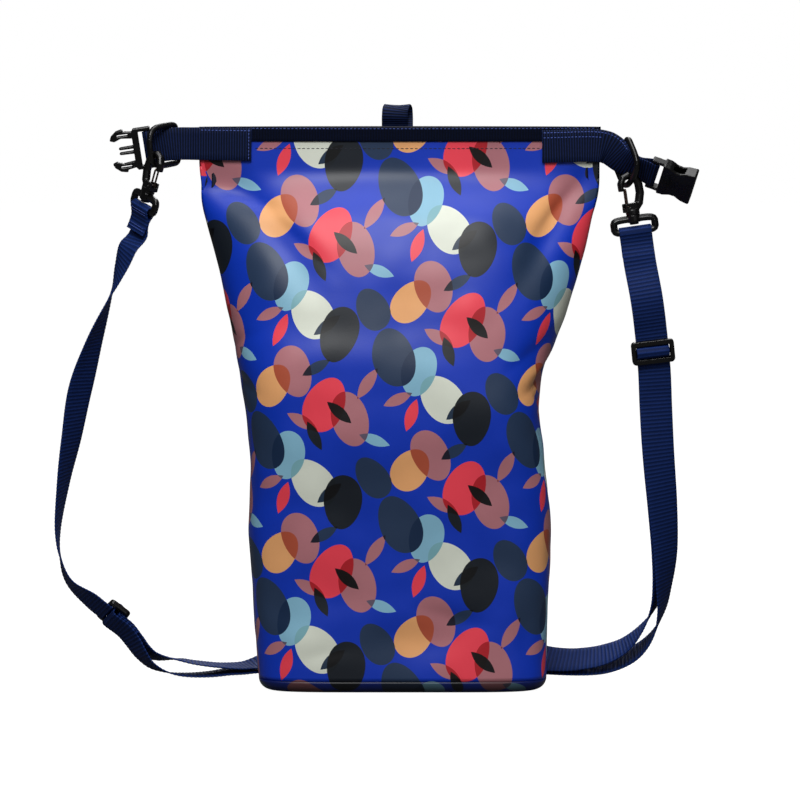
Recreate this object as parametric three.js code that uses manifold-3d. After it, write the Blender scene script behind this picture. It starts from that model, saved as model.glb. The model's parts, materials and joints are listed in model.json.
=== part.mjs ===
// Roll-top dry bag carried as a backpack, unrolled and standing on its boxed base.
// Millimetres: +X to the right of the printed front, +Y from the front to the back, +Z up.
// The origin is the middle of the underside of the base.
import * as THREE from 'three';
import { mergeVertices } from 'three/addons/utils/BufferGeometryUtils.js';
import Module from 'manifold-3d';

const wasm = await Module();
wasm.setup();

// Driving dimensions of the bag
const GIRTH = 618; // round the cloth tube, twice its width laid flat
const RIM_HEIGHT = 431;
const SEAM_HEIGHT = 9; // where the tube meets the base
const BASE_EDGE = 9; // rounding of the base's edge
const CLOTH = 1.2; // wall of the coated cloth
const GAP = 0.3; // clearance between neighbouring pieces
const BAND_HEIGHT = 11; // stiffening tape along the mouth
const BAND_THICK = 1.2;
const BAND_END = 4; // its ends' distance from the mouth's tips
const BAND_GAP = 0.45; // clearance between the mouth's wall and its tape

// Driving dimensions of the webbing and its fittings
const WEBBING = 25;
const WEBBING_THICK = 1.3;
const SLOT = WEBBING + 1.6; // clear width of a fitting that takes the webbing
const LAP = (WEBBING_THICK + GAP) / 2; // from the middle of two laid-together layers to each of them
const BUCKLE_BAR = 1.9; // radius of a buckle's webbing bar
const RING_WIRE = 2; // radius of a ring's bar
const EYE_WIRE = 2.6; // radius of a swivel eye's bar
const SLIDER_BAR = 1.5; // radius of a slider's middle bar
const HANG_TAB_WIDTH = 20;

// Facets
const GIRTH_STEPS = 56;
const HEIGHT_STEPS = 18;
const OUTLINE_STEPS = 1440;
const ROUND_SIDES = 12;
const WIRE_SIDES = 6;

// Cross-section of the tube by height: half its depth, how square its sides and faces are,
// how far the inside stays clear of the side edges, and how far the bag sways to the right there.
// The width follows from the girth.
const SECTIONS = [
  { z: 9, halfDepth: 59, sides: 5.5, faces: 5, edge: 1.2, shift: 2 },
  { z: 36, halfDepth: 57.6, sides: 5.5, faces: 5, edge: 1.2, shift: 1.2 },
  { z: 82, halfDepth: 55.5, sides: 5.2, faces: 4.6, edge: 1.2, shift: 0.5 },
  { z: 119, halfDepth: 55.6, sides: 5, faces: 4.4, edge: 1.2, shift: 0 },
  { z: 156, halfDepth: 57.9, sides: 4.8, faces: 4, edge: 1.2, shift: -1 },
  { z: 205, halfDepth: 62, sides: 4.6, faces: 3.4, edge: 1.3, shift: -5 },
  { z: 248, halfDepth: 57.6, sides: 4.2, faces: 2.8, edge: 1.5, shift: -6 },
  { z: 285, halfDepth: 50.1, sides: 3.8, faces: 2.2, edge: 1.8, shift: -2.4 },
  { z: 322, halfDepth: 42.9, sides: 3.3, faces: 1.75, edge: 2.4, shift: -0.8 },
  { z: 359, halfDepth: 31, sides: 2.8, faces: 1.35, edge: 4, shift: -0.6 },
  { z: 400, halfDepth: 8.4, sides: 2.2, faces: 1.05, edge: 9, shift: -0.2 },
  { z: 431, halfDepth: 8, sides: 2.2, faces: 1.05, edge: 9, shift: 0 },
];

// Dents and folds, placed on the cloth by the distance round from the middle of the front
// and by height. Lean turns the long way of a fold from level.
const DENTS = [
  { girth: 152, z: 236, across: 30, up: 22, lean: 0, depth: 3 }, // pinch in the right side
  { girth: 118, z: 352, across: 46, up: 11, lean: 58, depth: 5 }, // fold down from the right end
  { girth: -128, z: 384, across: 26, up: 10, lean: -12, depth: 3.5 }, // fold under the left tab
  { girth: -92, z: 344, across: 44, up: 14, lean: -50, depth: 4 }, // fold down from the left end
  { girth: -148, z: 250, across: 24, up: 30, lean: 0, depth: 1 }, // hollow of the left side
  { girth: 20, z: 44, across: 30, up: 16, lean: 10, depth: 3 }, // hollow low on the front
  { girth: -96, z: 70, across: 14, up: 52, lean: -8, depth: 3 }, // upright fold low on the left
  { girth: 309, z: 190, across: 70, up: 80, lean: 0, depth: 4 }, // back, flattened by its wearer
];

// Webbing tabs on the ends of the mouth: course from the sewn end to the buckle's bar, with the
// turn of the webbing about its run, then the ring's place on it, how it tilts out of the webbing,
// rolls in it and stands off it, and the place round the ring where the hook hangs.
const TABS = {
  left: {
    rows: [
      { x: -114, y: 0, z: 417.6, turn: 0 },
      { x: -156, y: 0, z: 418, turn: 0 },
      { x: -172, y: 0, z: 417.9, turn: 0 },
      { x: -188, y: 0, z: 416, turn: 5 },
      { x: -206, y: 0, z: 413.3, turn: 5 },
    ],
    bar: 79,
    ring: { at: 67.5, tilt: 44, roll: -3, lift: 5, hook: 50 },
  },
  right: {
    rows: [
      { x: 109, y: 0, z: 416, turn: 0 },
      { x: 155, y: 0, z: 416, turn: 0 },
      { x: 162.5, y: 0, z: 413, turn: -12 },
      { x: 170.5, y: -1, z: 405.8, turn: -34 },
      { x: 180, y: -2, z: 400, turn: -45 },
      { x: 191, y: -3, z: 397, turn: -46 },
      { x: 210, y: -4.6, z: 390, turn: -44 },
    ],
    bar: 91,
    ring: { at: 70, tilt: 46, roll: 2, lift: 1, hook: -20 },
  },
};

// Snap hooks: way up along the shank, the plan bearing of the spine from the shank, and where the
// middle of the ring's bar lies inside the crook.
const HOOKS = {
  left: { up: [0.27, -0.11, 0.96], bearing: 129, seat: { x: 0.6, z: 21 } },
  right: { up: [-0.14, 0.02, 0.99], bearing: 20, seat: { x: 0.2, z: 22.3 } },
};
const HOOK = {
  spine: [
    { x: 1.7, z: 2.3, inPlane: 3.3 },
    { x: 6.1, z: 6.8, inPlane: 3.3 },
    { x: 8.1, z: 14.1, inPlane: 3.2 },
    { x: 7.8, z: 21.5, inPlane: 3.1 },
    { x: 5.2, z: 26.7, inPlane: 3 },
    { x: 0.4, z: 28.7, inPlane: 2.9 },
    { x: -4.4, z: 27, inPlane: 2.6 },
    { x: -7, z: 22.6, inPlane: 2.2 },
    { x: -7.1, z: 17.2, inPlane: 1.8 },
  ],
  halfThick: 3,
  pivot: { x: -4, z: 4.9 },
  gateLength: 13.2,
  gateHalfWidth: 1.6,
  gateWire: 0.75,
  eyeTop: -4.8, // middle of the swivel eye's upper bar, then of its lower one
  eyeBar: -14.8,
};

// Shoulder straps: course from below the swivel eye to the anchor behind the bag, with the turn of
// the webbing about its run, and the rows between which the slider sits.
const STRAPS = {
  left: {
    tailSide: 1,
    sliderFace: -1,
    slider: 11,
    rows: [
      { x: -209, y: -8, z: 338, turn: -56 },
      { x: -216, y: -4, z: 320, turn: -70 },
      { x: -222.5, y: 1, z: 302, turn: -90 },
      { x: -236, y: 11, z: 264.5, turn: -118 },
      { x: -247, y: 20, z: 227, turn: -135 },
      { x: -254, y: 28.5, z: 189.5, turn: -126 },
      { x: -261, y: 36.5, z: 151.5, turn: -110 },
      { x: -265.5, y: 43, z: 114, turn: -96 },
      { x: -263.8, y: 46.5, z: 93.5, turn: -86 },
      { x: -256.5, y: 49.5, z: 73.5, turn: -73 },
      { x: -235, y: 52.9, z: 57.6, turn: -55 },
      { x: -223, y: 53.5, z: 48.2, turn: -55 },
      { x: -211, y: 54.1, z: 38.8, turn: -55 },
      { x: -203.6, y: 53.9, z: 29.6, turn: -57 },
      { x: -198, y: 53, z: 21.4, turn: -62 },
      { x: -191, y: 52, z: 14, turn: -71 },
      { x: -181, y: 50.6, z: 9.6, turn: -81 },
      { x: -168, y: 49.6, z: 7.1, turn: -88 },
      { x: -152, y: 51, z: 5.8, turn: -91 },
      { x: -136, y: 55, z: 5.3, turn: -93 },
      { x: -121, y: 60.5, z: 5.4, turn: -97 },
      { x: -109, y: 64.6, z: 7.4, turn: -110 },
      { x: -98, y: 66.2, z: 10.8, turn: -134 },
      { x: -90, y: 65.4, z: 14, turn: -158 },
      { x: -82, y: 64, z: 16.8, turn: -177 },
      { x: -74, y: 63.7, z: 17.5, turn: -180 },
      { x: -58, y: 63.7, z: 17.5, turn: -180 },
    ],
    layers: [
      { share: 0, front: -2.8, back: -6 },
      { share: 0.16, front: -2.8, back: -6 },
      { share: 0.36, front: 5.6, back: -6 },
      { share: 0.5, front: 3.8, back: -4.4 },
      { share: 0.64, front: 2, back: -2 },
      { share: 0.82, front: 1.7, back: -1.7 },
      { share: 1, front: 2.7, back: -2.7 },
    ],
  },
  right: {
    tailSide: -1,
    sliderFace: 1,
    slider: 2,
    rows: [
      { x: 189, y: -13.6, z: 301, turn: 2 },
      { x: 193.2, y: -7, z: 271.5, turn: 3 },
      { x: 194.6, y: -4, z: 258, turn: 3 },
      { x: 196, y: -1, z: 244.5, turn: 3 },
      { x: 197.8, y: 6, z: 212, turn: 6 },
      { x: 199.8, y: 14, z: 174, turn: 14 },
      { x: 203, y: 22, z: 136, turn: 27 },
      { x: 205, y: 29.5, z: 100, turn: 42 },
      { x: 204, y: 35, z: 76, turn: 58 },
      { x: 200.5, y: 41, z: 53.5, turn: 76 },
      { x: 192, y: 46, z: 35.2, turn: 94 },
      { x: 178, y: 49.5, z: 21, turn: 110 },
      { x: 160, y: 52.5, z: 13.5, turn: 121 },
      { x: 140, y: 55.5, z: 10.8, turn: 126 },
      { x: 120, y: 60, z: 10.8, turn: 132 },
      { x: 104, y: 64.6, z: 12.4, turn: 147 },
      { x: 92, y: 65.6, z: 15.2, turn: 166 },
      { x: 77, y: 63.7, z: 17.3, turn: 180 },
      { x: 58, y: 63.7, z: 17.5, turn: 180 },
    ],
    layers: [
      { share: 0, front: -2.8, back: -6 },
      { share: 0.09, front: -2.8, back: -6 },
      { share: 0.25, front: 0.9, back: -0.9 },
      { share: 0.5, front: 1.6, back: -1.6 },
      { share: 0.66, front: 5.4, back: -5.4 },
      { share: 0.74, front: 4.4, back: -4.4 },
      { share: 0.83, front: 2.1, back: -2.1 },
      { share: 0.92, front: 1.7, back: -1.7 },
      { share: 1, front: 2.7, back: -2.7 },
    ],
  },
};
const TAIL = 19; // sewn-down end of a strap
const ANCHOR_BAR = 66.7; // distance of an anchor's bar from the middle of the back
const ANCHOR_FIRST = 34; // where its sewn flange begins
const ANCHOR_STEP = 55; // where it steps out from the cloth
const ANCHOR_HEIGHT = 33;
const ANCHOR_Z = 17.5;

const Y = new THREE.Vector3(0, 1, 0);
const Z = new THREE.Vector3(0, 0, 1);
const { degToRad, clamp, lerp } = THREE.MathUtils;

// Finishes
const PRINT = { color: 0x1a35b0, roughness: 0.45, metalness: 0 };
const NAVY_WEBBING = { color: 0x16205a, roughness: 0.8, metalness: 0 };
const BLACK_PLASTIC = { color: 0x0c0c0e, roughness: 0.3, metalness: 0 };
const DARK_WIRE = { color: 0x3b3029, roughness: 0.35, metalness: 0.9 };

const bag = new THREE.Group();

// Adds one sub-part to a group.
function addPart(name, geometry, finish, parent = bag) {
  const mesh = new THREE.Mesh(geometry, new THREE.MeshStandardMaterial(finish));
  mesh.name = name;
  parent.add(mesh);
  return mesh;
}

// Smooth value of a table's column at a place along another column, never past its rows' values.
function tableValue(rows, along, column, place) {
  const last = rows.length - 1;
  const at = clamp(place, rows[0][along], rows[last][along]);
  const found = rows.findIndex((row) => row[along] >= at);
  const i = Math.max(found, 1) - 1;
  const slope = (k) => (rows[k + 1][column] - rows[k][column]) / (rows[k + 1][along] - rows[k][along]);
  const tangent = (k) => {
    if (k === 0) return slope(0);
    if (k === last) return slope(last - 1);
    if (slope(k - 1) * slope(k) <= 0) return 0;
    return 2 / (1 / slope(k - 1) + 1 / slope(k));
  };
  const span = rows[i + 1][along] - rows[i][along];
  const t = (at - rows[i][along]) / span;
  const rise = t * t * (3 - 2 * t);
  const bend = t * (1 - t) * ((1 - t) * tangent(i) - t * tangent(i + 1)) * span;
  return lerp(rows[i][column], rows[i + 1][column], rise) + bend;
}

// Ways to close the ends of a surface through rings of points.
const ENDS = {
  joined: 'last ring to first',
  filled: 'end rings filled',
  folded: 'end rings filled as folded strips',
};

// Closed surface through rings of points. The faces are split alike on opposite sides, so that
// twisted webbing keeps its thickness.
function loft(rings, ends) {
  const sides = rings[0].length;
  const positions = rings.flat().flatMap((point) => point.toArray());
  const faces = [];
  const spans = ends === ENDS.joined ? rings.length : rings.length - 1;
  for (let i = 0; i < spans; i++) {
    const low = i * sides;
    const high = ((i + 1) % rings.length) * sides;
    for (let j = 0; j < sides; j++) {
      const next = (j + 1) % sides;
      if (j < sides / 2) faces.push(low + j, low + next, high + next, low + j, high + next, high + j);
      else faces.push(low + j, low + next, high + j, low + next, high + next, high + j);
    }
  }
  const end = (rings.length - 1) * sides;
  const fill = (a, b, c) => faces.push(a, c, b, end + a, end + b, end + c);
  if (ends === ENDS.filled) {
    for (let j = 1; j < sides - 1; j++) fill(0, j, j + 1);
  }
  if (ends === ENDS.folded) {
    for (let j = 0; j < sides / 2 - 1; j++) {
      fill(j, j + 1, sides - 2 - j);
      fill(j, sides - 2 - j, sides - 1 - j);
    }
  }
  const geometry = new THREE.BufferGeometry();
  geometry.setAttribute('position', new THREE.Float32BufferAttribute(positions, 3));
  geometry.setIndex(faces);
  geometry.computeVertexNormals();
  return geometry;
}

// Direction of a run of points at one of them.
function runDirection(points, i, joinEnds) {
  const count = points.length;
  const before = joinEnds ? points[(i + count - 1) % count] : points[Math.max(i - 1, 0)];
  const after = joinEnds ? points[(i + 1) % count] : points[Math.min(i + 1, count - 1)];
  return after.clone().sub(before).normalize();
}

// Flat webbing through stations that each give a middle point and the direction of the width.
function webbing(stations, width, thickness) {
  const points = stations.map((station) => station.point);
  const rings = stations.map((station, i) => {
    const along = runDirection(points, i, false);
    const across = station.across.clone().addScaledVector(along, -station.across.dot(along)).normalize();
    const out = new THREE.Vector3().crossVectors(along, across);
    const corner = (side, face) =>
      station.point
        .clone()
        .addScaledVector(across, (side * width) / 2)
        .addScaledVector(out, (face * thickness) / 2);
    return [corner(1, -1), corner(1, 1), corner(-1, 1), corner(-1, -1)];
  });
  return loft(rings, ENDS.filled);
}

// Round or oval bar along points in one plane, by its half sizes in the plane and square to it.
function bar(points, inPlane, square, planeNormal, sides, joinEnds = false) {
  const rings = points.map((point, i) => {
    const along = runDirection(points, i, joinEnds);
    const side = new THREE.Vector3().crossVectors(planeNormal, along);
    const reach = Array.isArray(inPlane) ? inPlane[i] : inPlane;
    return Array.from({ length: sides }, (_, k) => {
      const angle = (2 * Math.PI * (k + 0.5)) / sides;
      return point
        .clone()
        .addScaledVector(side, reach * Math.cos(angle))
        .addScaledVector(planeNormal, square * Math.sin(angle));
    });
  });
  return loft(rings, joinEnds ? ENDS.joined : ENDS.filled);
}

// Round post along Z between two heights.
function post(radius, low, high, sides = ROUND_SIDES) {
  return new THREE.CylinderGeometry(radius, radius, high - low, sides)
    .rotateX(Math.PI / 2)
    .translate(0, 0, (low + high) / 2);
}

// Round pin along Y through a point of the XZ plane.
function crossPin(radius, length, x, z, sides) {
  return new THREE.CylinderGeometry(radius, radius, length, sides).translate(x, 0, z);
}

// Block between two corners.
function block(low, high) {
  const size = high.map((value, i) => value - low[i]);
  const middle = high.map((value, i) => (value + low[i]) / 2);
  return new THREE.BoxGeometry(...size).translate(...middle);
}

// Plate of an outline, as thick as given about the XY plane.
function plate(shape, thickness, curveSegments = 3) {
  const options = { depth: thickness, bevelEnabled: false, curveSegments };
  return new THREE.ExtrudeGeometry(shape, options).translate(0, 0, -thickness / 2);
}

// Outline that is the same on both sides of the X axis, from its points on the +Y side.
function mirroredShape(half) {
  const other = half.map(([x, y]) => [x, -y]).reverse();
  return new THREE.Shape([...half, ...other].map(([x, y]) => new THREE.Vector2(x, y)));
}

// Rectangle with rounded corners about the origin.
function roundedRectangle(length, width, radius) {
  const x = length / 2;
  const y = width / 2;
  const shape = new THREE.Shape();
  shape.absarc(x - radius, y - radius, radius, 0, Math.PI / 2);
  shape.absarc(radius - x, y - radius, radius, Math.PI / 2, Math.PI);
  shape.absarc(radius - x, radius - y, radius, Math.PI, 1.5 * Math.PI);
  shape.absarc(x - radius, radius - y, radius, 1.5 * Math.PI, 2 * Math.PI);
  return shape;
}

// Solid for joining and cutting.
function solidOf(geometry) {
  const bare = geometry.clone();
  bare.deleteAttribute('normal');
  bare.deleteAttribute('uv');
  const merged = mergeVertices(bare, 1e-4);
  const vertProperties = merged.attributes.position.array;
  const triVerts = new Uint32Array(merged.index.array);
  return new wasm.Manifold(new wasm.Mesh({ numProp: 3, vertProperties, triVerts }));
}

// One geometry of several joined together, less what is cut from them.
function joined(pieces, cuts = []) {
  const sum = pieces.map(solidOf).reduce((whole, piece) => whole.add(piece));
  const rest = cuts.map(solidOf).reduce((whole, cut) => whole.subtract(cut), sum);
  const { vertProperties, triVerts } = rest.getMesh();
  const geometry = new THREE.BufferGeometry();
  geometry.setAttribute('position', new THREE.Float32BufferAttribute(vertProperties, 3));
  geometry.setIndex(Array.from(triVerts));
  geometry.computeVertexNormals();
  return geometry;
}

// Dense outline of a rounded section, from the middle of the front, anticlockwise from above.
function denseOutline({ halfWidth, halfDepth, sides, faces, shift }) {
  return Array.from({ length: OUTLINE_STEPS + 1 }, (_, k) => {
    const angle = (2 * Math.PI * k) / OUTLINE_STEPS - Math.PI / 2;
    const c = Math.cos(angle);
    const s = Math.sin(angle);
    const x = halfWidth * Math.sign(c) * Math.abs(c) ** (2 / sides);
    const y = halfDepth * Math.sign(s) * Math.abs(s) ** (2 / faces);
    return new THREE.Vector2(x + shift, y);
  });
}

// Distances along a row of points.
function runningLengths(points) {
  const lengths = [0];
  for (let k = 1; k < points.length; k++) {
    lengths.push(lengths[k - 1] + points[k].distanceTo(points[k - 1]));
  }
  return lengths;
}

// Half width that gives a section the cloth's girth.
function halfWidthFor(section) {
  let low = GIRTH / 8;
  let high = GIRTH / 4;
  while (high - low > 0.001) {
    const halfWidth = (low + high) / 2;
    const round = runningLengths(denseOutline({ ...section, halfWidth })).at(-1);
    if (round < GIRTH) low = halfWidth;
    else high = halfWidth;
  }
  return low;
}

// Section of the tube at a height, with its width.
function sectionAt(z) {
  const section = { z };
  for (const column of ['halfDepth', 'sides', 'faces', 'edge', 'shift']) {
    section[column] = tableValue(SECTIONS, 'z', column, z);
  }
  section.halfWidth = halfWidthFor(section);
  return section;
}

// Section's outline in equal steps of length.
function evenOutline(section, steps) {
  const dense = denseOutline(section);
  const lengths = runningLengths(dense);
  let k = 0;
  return Array.from({ length: steps }, (_, j) => {
    const wanted = (lengths.at(-1) * j) / steps;
    while (lengths[k + 1] < wanted) k++;
    const t = (wanted - lengths[k]) / (lengths[k + 1] - lengths[k]);
    return dense[k].clone().lerp(dense[k + 1], t);
  });
}

// How far the cloth is pressed in at a place on it.
function dentDepth(girth, z) {
  return DENTS.reduce((sum, dent) => {
    const round = ((girth - dent.girth + 1.5 * GIRTH) % GIRTH) - GIRTH / 2;
    const lean = degToRad(dent.lean);
    const along = round * Math.cos(lean) + (z - dent.z) * Math.sin(lean);
    const over = (z - dent.z) * Math.cos(lean) - round * Math.sin(lean);
    return sum + dent.depth * Math.exp(-((along / dent.across) ** 2) - (over / dent.up) ** 2);
  }, 0);
}

// Outward direction of a ring of plan points at one of them.
function ringOutward(ring, j) {
  const count = ring.length;
  const step = ring[(j + 1) % count].clone().sub(ring[(j + count - 1) % count]);
  return new THREE.Vector2(step.y, -step.x).normalize();
}

// Rings of the tube's outer and inner wall at a height, with the dents in both.
function wallRings(z) {
  const section = sectionAt(z);
  const outer = evenOutline(section, GIRTH_STEPS);
  const inside = {
    ...section,
    halfWidth: section.halfWidth - section.edge,
    halfDepth: section.halfDepth - CLOTH,
  };
  const inner = evenOutline(inside, GIRTH_STEPS);
  const dented = (ring) =>
    ring.map((point, j) => {
      const girth = (GIRTH * j) / GIRTH_STEPS;
      const moved = point.clone().addScaledVector(ringOutward(outer, j), -dentDepth(girth, z));
      return new THREE.Vector3(moved.x, moved.y, z);
    });
  return { outer: dented(outer), inner: dented(inner) };
}

// Front (facing -1) or back (facing 1) panel of the cloth tube, from one side seam round to the other
function clothPanel(facing) {
  const quarter = GIRTH_STEPS / 4;
  const firstStep = facing * quarter;
  const stretch = (ring) => {
    const row = Array.from({ length: 2 * quarter + 1 }, (_, k) => {
      return ring[(firstStep + k + GIRTH_STEPS) % GIRTH_STEPS].clone();
    });
    row[0].y += facing * GAP / 2;
    row.at(-1).y += facing * GAP / 2;
    return row;
  };
  const rings = Array.from({ length: HEIGHT_STEPS + 1 }, (_, i) => {
    const { outer, inner } = wallRings(lerp(SEAM_HEIGHT, RIM_HEIGHT, i / HEIGHT_STEPS));
    return [...stretch(outer), ...stretch(inner).reverse()];
  });
  return loft(rings, ENDS.folded);
}

// Base: a flat-bottomed tray whose rounded edge meets the tube
function basePanel() {
  const section = sectionAt(SEAM_HEIGHT);
  const ring = (inset, z) => {
    const drawn = { ...section };
    drawn.halfWidth -= inset;
    drawn.halfDepth -= inset;
    return evenOutline(drawn, GIRTH_STEPS).map((point) => new THREE.Vector3(point.x, point.y, z));
  };
  const top = SEAM_HEIGHT - GAP;
  const edgeSteps = [90, 60, 30, 0];
  const edge = (wall) =>
    edgeSteps.map((angle) => {
      const inset = wall + (BASE_EDGE - wall) * (1 - Math.cos(degToRad(angle)));
      const z = top - (top - wall) * Math.sin(degToRad(angle));
      return ring(inset, z);
    });
  return loft([...edge(0), ...edge(CLOTH).reverse()], ENDS.filled);
}

// Depth of the mouth's outer wall at a place across it.
const rim = sectionAt(RIM_HEIGHT);
function rimDepth(x) {
  const share = Math.min(Math.abs(x) / rim.halfWidth, 1);
  return rim.halfDepth * (1 - share ** rim.sides) ** (1 / rim.faces);
}

// Tape along one face of the mouth, front or back.
function mouthBand(face) {
  const steps = 24;
  const reach = rim.halfWidth - BAND_END;
  const standOff = BAND_GAP + BAND_THICK / 2;
  const stations = Array.from({ length: steps + 1 }, (_, i) => {
    const x = lerp(-reach, reach, i / steps);
    const point = new THREE.Vector3(x, face * (rimDepth(x) + standOff), RIM_HEIGHT - BAND_HEIGHT / 2);
    return { point, across: Z };
  });
  return webbing(stations, BAND_HEIGHT, BAND_THICK);
}

// Loop of webbing on the back of the mouth, folded slightly askew
function hangTab() {
  const legs = rim.halfDepth + BAND_GAP + BAND_THICK + GAP + WEBBING_THICK / 2;
  const sewn = RIM_HEIGHT - BAND_HEIGHT;
  const top = RIM_HEIGHT + 15.4;
  const rows = [
    { x: -4, y: legs, z: sewn },
    { x: -4, y: legs, z: RIM_HEIGHT },
    { x: -4, y: legs - 3.6, z: RIM_HEIGHT + 7 },
    { x: -3.6, y: legs - 3.2, z: RIM_HEIGHT + 12.4 },
    { x: -2.8, y: legs - 0.8, z: top - 0.7 },
    { x: -2, y: legs + 1.4, z: top },
    { x: -1.2, y: legs + 3.6, z: top - 0.7 },
    { x: -0.4, y: legs + 6, z: RIM_HEIGHT + 12.4 },
    { x: 0, y: legs + 6.2, z: RIM_HEIGHT + 7 },
    { x: 0, y: legs + 2 * LAP, z: RIM_HEIGHT },
    { x: 0, y: legs + 2 * LAP, z: sewn },
  ];
  const across = new THREE.Vector3(1, 0, 0);
  const stations = rows.map((row) => ({ point: new THREE.Vector3(row.x, row.y, row.z), across }));
  return webbing(stations, HANG_TAB_WIDTH, WEBBING_THICK);
}

// Course of a strap or tab: its middle line, and how the webbing is turned about it.
class Course {
  constructor(rows) {
    this.curve = new THREE.CatmullRomCurve3(rows.map((row) => new THREE.Vector3(row.x, row.y, row.z)));
    const finer = 40;
    this.curve.arcLengthDivisions = finer * (rows.length - 1);
    const lengths = this.curve.getLengths();
    this.turns = rows.map((row, i) => ({ at: lengths[i * finer], turn: row.turn }));
    this.length = lengths.at(-1);
  }

  // Middle point, direction of the run, of the width and out of the face.
  frame(at) {
    const share = clamp(at / this.length, 0, 1);
    const along = this.curve.getTangentAt(share);
    const point = this.curve.getPointAt(share).addScaledVector(along, at - share * this.length);
    const level = new THREE.Vector3().crossVectors(along, Y).normalize();
    const back = new THREE.Vector3().crossVectors(level, along);
    const turn = degToRad(tableValue(this.turns, 'at', 'turn', at));
    const across = level.multiplyScalar(Math.cos(turn)).addScaledVector(back, Math.sin(turn));
    return { point, along, across, face: new THREE.Vector3().crossVectors(along, across) };
  }

  // Places a fitting: its X along the run, its Y across the webbing, its Z out of the face.
  matrix(at) {
    const { point, along, across, face } = this.frame(at);
    return new THREE.Matrix4().makeBasis(along, across, face).setPosition(point);
  }

  // Webbing that follows a side view of places along the course and heights off it.
  webbing(side) {
    const stations = side.map(([at, height]) => {
      const { point, across, face } = this.frame(at);
      return { point: point.addScaledVector(face, height), across };
    });
    return webbing(stations, WEBBING, WEBBING_THICK);
  }
}

// Side view of a turn round a bar: half an oval from one face to the other, outward along the run.
function turnRound(at, reach, height, toward, startFace, steps) {
  return Array.from({ length: steps + 1 }, (_, i) => {
    const angle = Math.PI * (i / steps);
    return [at + toward * reach * Math.sin(angle), startFace * height * Math.cos(angle)];
  });
}

// Webbing tab: sewn to the front, out round the buckle's bar, and back to the rear of the mouth
function tabWebbing(course, spec) {
  const onBand = BAND_GAP + BAND_THICK + GAP + WEBBING_THICK / 2;
  const corner = rim.halfWidth - Math.abs(spec.rows[0].x);
  const steps = 6;
  const leg = Array.from({ length: steps + 1 }, (_, i) => {
    const at = (corner * i) / steps;
    return [at, rimDepth(Math.abs(spec.rows[0].x) + at) + onBand];
  });
  const loop = BUCKLE_BAR + GAP + WEBBING_THICK / 2 + 0.1;
  const outward = [
    ...leg,
    [corner + 4, 1.5],
    [corner + 8, LAP],
    [spec.bar - 14, LAP],
    [spec.bar - 9, LAP],
    [spec.bar - 4, 1.9],
  ];
  const inward = outward.map(([at, height]) => [at, -height]).reverse();
  return course.webbing([...outward, ...turnRound(spec.bar, loop, loop, 1, 1, 8), ...inward]);
}

// Outline of the buckle halves' webbing end: two rails about the bar
const RAIL_END = -2.6;
const RAIL_SIDE = 15.8;
const BRIDGE = 7; // where the rails meet the body
const BUCKLE_THICK = 5;

function buckleBar() {
  return crossPin(BUCKLE_BAR, SLOT + 1, 0, 0, 8);
}

// Buckle half with two sprung arms and two guide fingers
function buckleMale() {
  const bridgeFront = BRIDGE + 4.5;
  const half = [
    [RAIL_END, RAIL_SIDE],
    [bridgeFront - 1.5, RAIL_SIDE],
    [bridgeFront, 13.6],
    [18, 14.6],
    [18.6, 16.4],
    [23.4, 15.4],
    [27.4, 12.2],
    [28.8, 9.2],
    [25.6, 8],
    [20.4, 10],
    [bridgeFront, 9],
    [bridgeFront, 2.9],
    [22, 2.6],
    [22.8, 1.9],
    [22, 1.2],
    [bridgeFront, 1.1],
  ];
  const shape = mirroredShape(half);
  const y = SLOT / 2;
  const slot = new THREE.Path().setFromPoints([
    new THREE.Vector2(RAIL_END + 0.01, -y),
    new THREE.Vector2(BRIDGE, -y),
    new THREE.Vector2(BRIDGE, y),
    new THREE.Vector2(RAIL_END + 0.01, y),
  ]);
  shape.holes.push(slot);
  const armHole = block([14.4, 11.3, -BUCKLE_THICK], [23.4, 13, BUCKLE_THICK]);
  const otherHole = block([14.4, -13, -BUCKLE_THICK], [23.4, -11.3, BUCKLE_THICK]);
  const openEnd = block([RAIL_END - 1, -y, -BUCKLE_THICK], [0, y, BUCKLE_THICK]);
  return joined([joined([plate(shape, BUCKLE_THICK)], [armHole, otherHole, openEnd]), buckleBar()]);
}

// Buckle half with a hollow housing, waisted at the sides where the arms are pressed
function buckleFemale() {
  const mouth = 33;
  const housingThick = 9;
  const housing = mirroredShape([
    [BRIDGE, RAIL_SIDE],
    [12, 15.4],
    [17, 13],
    [21, 12.7],
    [26, 15.2],
    [mouth - 1, RAIL_SIDE + 0.4],
    [mouth, RAIL_SIDE],
  ]);
  const rails = mirroredShape([
    [RAIL_END, RAIL_SIDE],
    [BRIDGE + 2, RAIL_SIDE],
  ]);
  const y = SLOT / 2;
  const slot = block([RAIL_END - 1, -y, -housingThick], [BRIDGE, y, housingThick]);
  const hollow = block([11, -14, -3], [mouth + 1, 14, 3]);
  const cut = joined([plate(housing, housingThick), plate(rails, BUCKLE_THICK)], [slot, hollow]);
  return joined([cut, buckleBar()]);
}

// Ring on a tab: a straight bar behind the webbing and a bow in front of it
const RING_REACH = 14;
const RING_SIDE = (WEBBING + 1.2) / 2 + RING_WIRE;
function ringPoint(degrees) {
  const c = Math.cos(degToRad(degrees));
  const s = Math.sin(degToRad(degrees));
  const squareness = c < 0 ? 8 : 3;
  const x = RING_REACH * Math.sign(c) * Math.abs(c) ** (2 / squareness);
  const y = RING_SIDE * Math.sign(s) * Math.abs(s) ** (2 / squareness);
  return new THREE.Vector3(x, y, 0);
}

function dRing() {
  const steps = 24;
  const points = Array.from({ length: steps }, (_, i) => ringPoint((360 * i) / steps));
  return bar(points, RING_WIRE, RING_WIRE, Z, WIRE_SIDES, true);
}

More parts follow.
